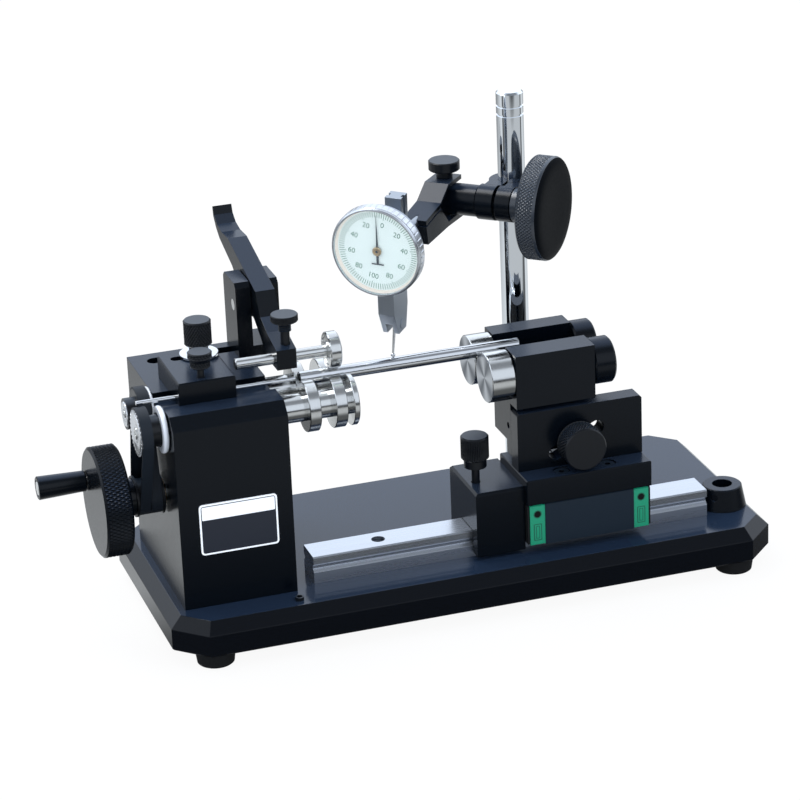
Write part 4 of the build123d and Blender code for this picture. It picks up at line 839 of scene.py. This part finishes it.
def make_bezel(local):
    """The bezel with notches around its edge, and the pale ring inside it."""
    notches = 48
    notch_depth = 0.35
    notch_half_share = 0.09
    chamfer = 0.5
    grip_end = 1.3
    step_start = 1.2
    step_drop = 0.25
    shoulder_start = 0.5
    shoulder_drop = 0.3
    front_drop = 0.75
    lip_chamfer = 0.1
    lip_depth = 0.3
    seat_depth = 3.2

    def notch(angle, along):
        turn = angle * notches / WHOLE_TURN
        return -notch_depth * (np.abs(turn - np.round(turn)) < notch_half_share) + along * 0

    rim = rows((-BEZEL_DEPTH, BEZEL_SEAT), (-BEZEL_DEPTH, BEZEL_RADIUS - chamfer))
    rim += rows((-BEZEL_DEPTH + chamfer, BEZEL_RADIUS))
    rim += [(-grip_end, BEZEL_RADIUS, 2, notch)]
    rim += rows((-step_start, BEZEL_RADIUS - step_drop), (-shoulder_start, BEZEL_RADIUS - shoulder_drop))
    rim += rows((0.0, BEZEL_RADIUS - front_drop), (0.0, BEZEL_LIP + lip_chamfer))
    rim += rows((-lip_depth, BEZEL_LIP), (-seat_depth, BEZEL_LIP), (-seat_depth, BEZEL_SEAT))
    rim += rows((-BEZEL_DEPTH, BEZEL_SEAT))
    points, faces = lathe(rim, 576)
    piece("bezel_notched", points, faces, satin_steel, "dial", ["bezel"], basis=local)
    ring_inner = 18.2
    ring_foot = 18.35
    ring_foot_height = 0.15
    ring_top = 18.9
    ring_top_depth = 1.15
    ring_outer = 18.98
    ring = rows((-CARD_DEPTH, ring_inner), (-CARD_DEPTH + ring_foot_height, ring_foot))
    ring += rows((-ring_top_depth, ring_top), (-ring_top_depth, ring_outer))
    ring += rows((-CARD_DEPTH, ring_outer), (-CARD_DEPTH, ring_inner))
    points, faces = lathe(ring, 192)
    piece("bezel_pale_ring", points, faces, champagne, "dial", basis=local)


def plan_ticks():
    """The tree that sets marks of two lengths around a circle, and its inputs' identifiers."""
    tree = bpy.data.node_groups.new("dial_marks", "GeometryNodeTree")
    kinds = {"Count": "Int", "Long Step": "Int", "Edge Radius": "Float", "Length": "Float"}
    kinds |= {"Extra Length": "Float", "Width": "Float", "Start": "Float", "Ink": "Material"}
    inputs = {
        name: tree.interface.new_socket(name, in_out="INPUT", socket_type="NodeSocket" + kind)
        for name, kind in kinds.items()
    }
    tree.interface.new_socket("Marks", in_out="OUTPUT", socket_type="NodeSocketGeometry")

    def add(kind, sockets=None, **settings):
        return add_node(tree, kind, sockets, **settings).outputs

    def sum_up(operation, *values):
        return add("ShaderNodeMath", dict(enumerate(values)), operation=operation)["Value"]

    given = add("NodeGroupInput")
    index = add("GeometryNodeInputIndex")["Index"]
    pitch = sum_up("DIVIDE", -WHOLE_TURN, given["Count"])
    turn = sum_up("MULTIPLY_ADD", index, pitch, given["Start"])
    is_long = sum_up("LESS_THAN", sum_up("MODULO", index, given["Long Step"]), 0.5)
    length = sum_up("MULTIPLY_ADD", is_long, given["Extra Length"], given["Length"])
    middle = sum_up("MULTIPLY_ADD", length, -0.5, given["Edge Radius"])
    x = sum_up("MULTIPLY", sum_up("COSINE", turn), middle)
    y = sum_up("MULTIPLY", sum_up("SINE", turn), middle)
    place = add("ShaderNodeCombineXYZ", {"X": x, "Y": y})["Vector"]
    spin = add("ShaderNodeCombineXYZ", {"Z": turn})["Vector"]
    size = add("ShaderNodeCombineXYZ", {"X": length, "Y": given["Width"], "Z": 1.0})["Vector"]
    points = add("GeometryNodePoints", {"Count": given["Count"], "Position": place})[0]
    sides = {"Size X": 1.0, "Size Y": 1.0, "Vertices X": 2, "Vertices Y": 2}
    mark = add("GeometryNodeMeshGrid", sides)["Mesh"]
    set_out = {"Points": points, "Instance": mark, "Rotation": spin, "Scale": size}
    instances = add("GeometryNodeInstanceOnPoints", set_out)["Instances"]
    real = add("GeometryNodeRealizeInstances", {"Geometry": instances})["Geometry"]
    inked = add("GeometryNodeSetMaterial", {"Geometry": real, "Material": given["Ink"]})
    add_node(tree, "NodeGroupOutput", {0: inked["Geometry"]})
    return tree, {name: socket.identifier for name, socket in inputs.items()}


def grow(tree, identifiers, values):
    """The points and faces that a tree makes from values for its named inputs."""
    seed = bpy.data.objects.new(tree.name + "_seed", bpy.data.meshes.new(tree.name + "_seed"))
    bpy.context.scene.collection.objects.link(seed)
    modifier = seed.modifiers.new("grow", "NODES")
    modifier.node_group = tree
    for name, value in values.items():
        modifier[identifiers[name]] = value
    graph = bpy.context.evaluated_depsgraph_get()
    mesh = bpy.data.meshes.new_from_object(seed.evaluated_get(graph))
    seed.modifiers.remove(modifier)
    bpy.data.objects.remove(seed)
    return [tuple(v.co) for v in mesh.vertices], [tuple(p.vertices) for p in mesh.polygons]


def make_ticks(local):
    """A hundred marks around the card, every tenth one longer."""
    edge_radius = 17.7
    length = 2.4
    long_length = 3.0
    width = 0.24
    values = {
        "Count": 100,
        "Long Step": 10,
        "Edge Radius": edge_radius,
        "Length": length,
        "Extra Length": long_length - length,
        "Width": width,
        "Start": math.pi / 2 - SCALE_TURN,
        "Ink": tick_ink.material,
    }
    points, faces = grow(*plan_ticks(), values)
    points = np.array(points) + (0, 0, INK_HEIGHT)
    piece("dial_ticks", points, faces, tick_ink, "dial", basis=local)


def write_number(name, words, x, y, size, local):
    """One of the dial's numbers, printed at a place on the card."""
    curve = bpy.data.curves.new(name, "FONT")
    curve.body = words
    curve.size = size
    curve.align_x = "CENTER"
    curve.align_y = "CENTER"
    holder = bpy.data.objects.new(name + "_text", curve)
    mesh = holder.to_mesh()
    points = np.array([v.co[:2] for v in mesh.vertices])
    faces = [tuple(p.vertices) for p in mesh.polygons]
    holder.to_mesh_clear()
    bpy.data.objects.remove(holder)
    cos, sin = math.cos(-SCALE_TURN), math.sin(-SCALE_TURN)
    placed = points @ np.array(((cos, sin), (-sin, cos))) + (x, y)
    placed = np.column_stack((placed, np.full(len(placed), INK_HEIGHT)))
    piece(name, placed, faces, tick_ink, "dial", basis=local)


def make_numbers(local):
    """The scale's numbers, up to 100 and back down."""
    reach = 12.1
    size = 3.3
    numbers = (0, 20, 40, 60, 80, 100, 80, 60, 40, 20)
    for place, number in enumerate(numbers):
        turn = math.pi / 2 - place * WHOLE_TURN / len(numbers) - SCALE_TURN
        x, y = reach * math.cos(turn), reach * math.sin(turn)
        write_number("dial_number_%d" % place, str(number), x, y, size, local)


def make_pointer_hub(local):
    """The gilt cap over the pointer."""
    foot = -1.9
    top = -1.3
    hole = 0.4
    dish_radius = 0.6
    dish_depth = 0.05
    top_radius = 1.7
    radius = 2.0
    chamfer = 0.2
    hub = rows((foot, hole), (top - dish_depth, dish_radius), (top, top_radius))
    hub += rows((top - chamfer, radius), (foot, radius), (foot, hole))
    points, faces = lathe(hub, 48)
    piece("pointer_hub", points, faces, gilt, "hand", basis=local)


def make_dial():
    """Bezel, marks, numbers and hub of the indicator's dial."""
    local = on_dial()
    make_bezel(local)
    make_ticks(local)
    make_numbers(local)
    make_pointer_hub(local)


def make_fork_washers():
    """Copper washers on both sides of the stylus's eye, in the indicator's fork."""
    start = 0.75
    end = 1.28
    crown = 1.0
    bore = 1.25
    edge_radius = 1.4
    crown_radius = 1.5
    ring = rows((start, bore), (start, edge_radius), (crown, crown_radius), (end, edge_radius))
    ring += rows((end, bore), (start, bore))
    swing = spot("feeler_swing")
    across = np.asarray(joints["feeler_swing"]["axis"])
    for name, side in (("fork_washer_right", -1), ("fork_washer_left", 1)):
        knob(name, ring, 64, swing, side * across, copper, "feeler")


make_handwheel()
make_lever_screw()
make_stop_thumbscrew()
make_rod_clamp_knob()
make_rail_clamp_knob()
make_tail_knob()
make_clamp_knob()
make_pulley_faces()
make_roller_faces()
make_caps()
make_label()
make_dial()
make_fork_washers()

# Floor, light and camera

# What mirror rays see of the floor: a painted reflection that glows in bands by place, as (share of the
# way, level) stops.
FLOOR_NEAR, FLOOR_FAR = -1.0, 0.8
FLOOR_PAINTED_REFLECTION = ((0.0, 0.05), (0.17, 0.05), (0.22, 0.62), (0.44, 0.62), (0.48, 0.12))
FLOOR_PAINTED_REFLECTION += ((0.53, 0.12), (0.57, 0.9), (0.72, 0.7), (0.94, 0.3))
FRONT_GLOSS = ((0.0, 0.04), (0.05, 0.05), (0.09, 1.0), (0.68, 0.95), (0.76, 0.35), (1.0, 0.25))
BACK_GLOSS = ((0.0, 0.4), (0.12, 0.65), (0.28, 1.5), (0.6, 1.4), (1.0, 0.9))
# What matt surfaces see.
FRONT_SOFT = ((0.0, 1.25), (0.5, 1.45), (1.0, 1.45))
BACK_SOFT = ((0.0, 0.8), (1.0, 1.1))
# The slightly blue light of the studio.
SKY_TINT = (0.87, 0.95, 1.07, 1)
WHITE = (1, 1, 1, 1)


def make_floor():
    """White paper that the camera sees as white with a faint shadow; mirrors see it glow in bands, a
    painted reflection of a studio floor.
    """
    half = 6.0
    corners = [(-half, -half, 0), (half, -half, 0), (half, half, 0), (-half, half, 0)]
    mesh = bpy.data.meshes.new("floor")
    mesh.from_pydata(corners, [], [(0, 1, 2, 3)])
    made = bpy.data.objects.new("floor", mesh)
    bpy.context.scene.collection.objects.link(made)
    paper = Surface("White paper", "#f4f5f6", roughness=0.9)
    path = paper.add("LightPath").outputs
    place = paper.add("SeparateXYZ", {"Vector": paper.add("TexCoord").outputs["Object"]}).outputs
    inputs = {"Value": place["Y"], "From Min": FLOOR_NEAR, "From Max": FLOOR_FAR}
    along = paper.add("MapRange", inputs).outputs["Result"]
    level = paper.add("ValToRGB", {"Fac": along}, stops=FLOOR_PAINTED_REFLECTION).outputs["Color"]
    seen = paper.add("Emission", {"Color": WHITE, "Strength": 1.0}).outputs["Emission"]
    # The floor glows only for mirror rays: a painted reflection in bands of light and dark.
    inputs = {"Color": (0.93, 0.97, 1.0, 1), "Strength": level}
    painted_reflection_glow = paper.add("Emission", inputs).outputs["Emission"]
    matt = paper.add("BsdfDiffuse", {"Color": (0.78, 0.785, 0.79, 1)}).outputs["BSDF"]
    # The share of plain white keeps the shadow faint.
    inputs = {0: 0.93, 1: paper.shader.outputs["BSDF"], 2: seen}
    shaded = paper.add("MixShader", inputs).outputs["Shader"]
    inputs = {0: path["Is Glossy Ray"], 1: path["Is Transmission Ray"]}
    shiny = paper.add("Math", inputs, operation="ADD").outputs["Value"]
    unseen = paper.add("MixShader", {0: shiny, 1: matt, 2: painted_reflection_glow}).outputs["Shader"]
    inputs = {0: path["Is Camera Ray"], 1: unseen, 2: shaded}
    final = paper.add("MixShader", inputs).outputs["Shader"]
    paper.tree.links.new(final, paper.tree.nodes["Material Output"].inputs["Surface"])
    mesh.materials.append(paper.material)


def make_sky():
    """The studio around the object: one set of levels for mirrors, one for matt surfaces."""
    sky = bpy.data.worlds.new("Studio")
    bpy.context.scene.world = sky
    sky.use_nodes = True
    tree = sky.node_tree

    def add(kind, inputs=None, **settings):
        return add_node(tree, "ShaderNode" + kind, inputs, **settings).outputs

    toward = add("SeparateXYZ", {"Vector": add("TexCoord")["Generated"]})
    inputs = {"Value": toward["Y"], "From Min": -0.25, "From Max": 0.1}
    behind = add("MapRange", inputs, interpolation_type="SMOOTHSTEP")["Result"]
    levels = [
        add("ValToRGB", {"Fac": toward["Z"]}, stops=stops)["Color"]
        for stops in (FRONT_GLOSS, BACK_GLOSS, FRONT_SOFT, BACK_SOFT)
    ]
    gloss = add("MixRGB", {0: behind, 1: levels[0], 2: levels[1]})["Color"]
    soft = add("MixRGB", {0: behind, 1: levels[2], 2: levels[3]})["Color"]
    path = add("LightPath")
    light = add("MixRGB", {0: path["Is Glossy Ray"], 1: soft, 2: gloss})["Color"]
    tinted = add("MixRGB", {0: 1.0, 1: light, 2: SKY_TINT}, blend_type="MULTIPLY")["Color"]
    seen = add("MixRGB", {0: path["Is Camera Ray"], 1: tinted, 2: WHITE})["Color"]
    through = add("MixRGB", {0: path["Is Transmission Ray"], 1: seen, 2: WHITE})["Color"]
    tree.links.new(through, tree.nodes["Background"].inputs["Color"])


def make_key_lamp():
    """One large soft lamp from behind on the left, which rounds the metal."""
    place = Vector((-0.35, 0.35, 1.1))
    aim = Vector((0, 0, 0.08))
    data = bpy.data.lights.new("key", "AREA")
    data.shape = "SQUARE"
    data.size = 0.5
    data.energy = 6.0
    made = bpy.data.objects.new("key", data)
    made.location = place
    made.rotation_mode = "QUATERNION"
    made.rotation_quaternion = (aim - place).to_track_quat("-Z", "Y")
    bpy.context.scene.collection.objects.link(made)


def make_camera():
    """The photograph's viewing angle, solved from places on the object."""
    place = (-281.0, -1234.1, 612.4)
    right = Vector((0.9497, -0.3109, -0.0388))
    up = Vector((0.1522, 0.3498, 0.9245))
    back = Vector((-0.2739, -0.8838, 0.3795))
    data = bpy.data.cameras.new("camera")
    data.lens = 148.2
    data.sensor_width = 36.0
    data.clip_start = 0.05
    made = bpy.data.objects.new("camera", data)
    made.matrix_world = Matrix((right, up, back)).transposed().to_4x4()
    made.location = world(place)[0].tolist()
    bpy.context.scene.collection.objects.link(made)
    bpy.context.scene.camera = made


make_floor()
make_sky()
make_key_lamp()
make_camera()
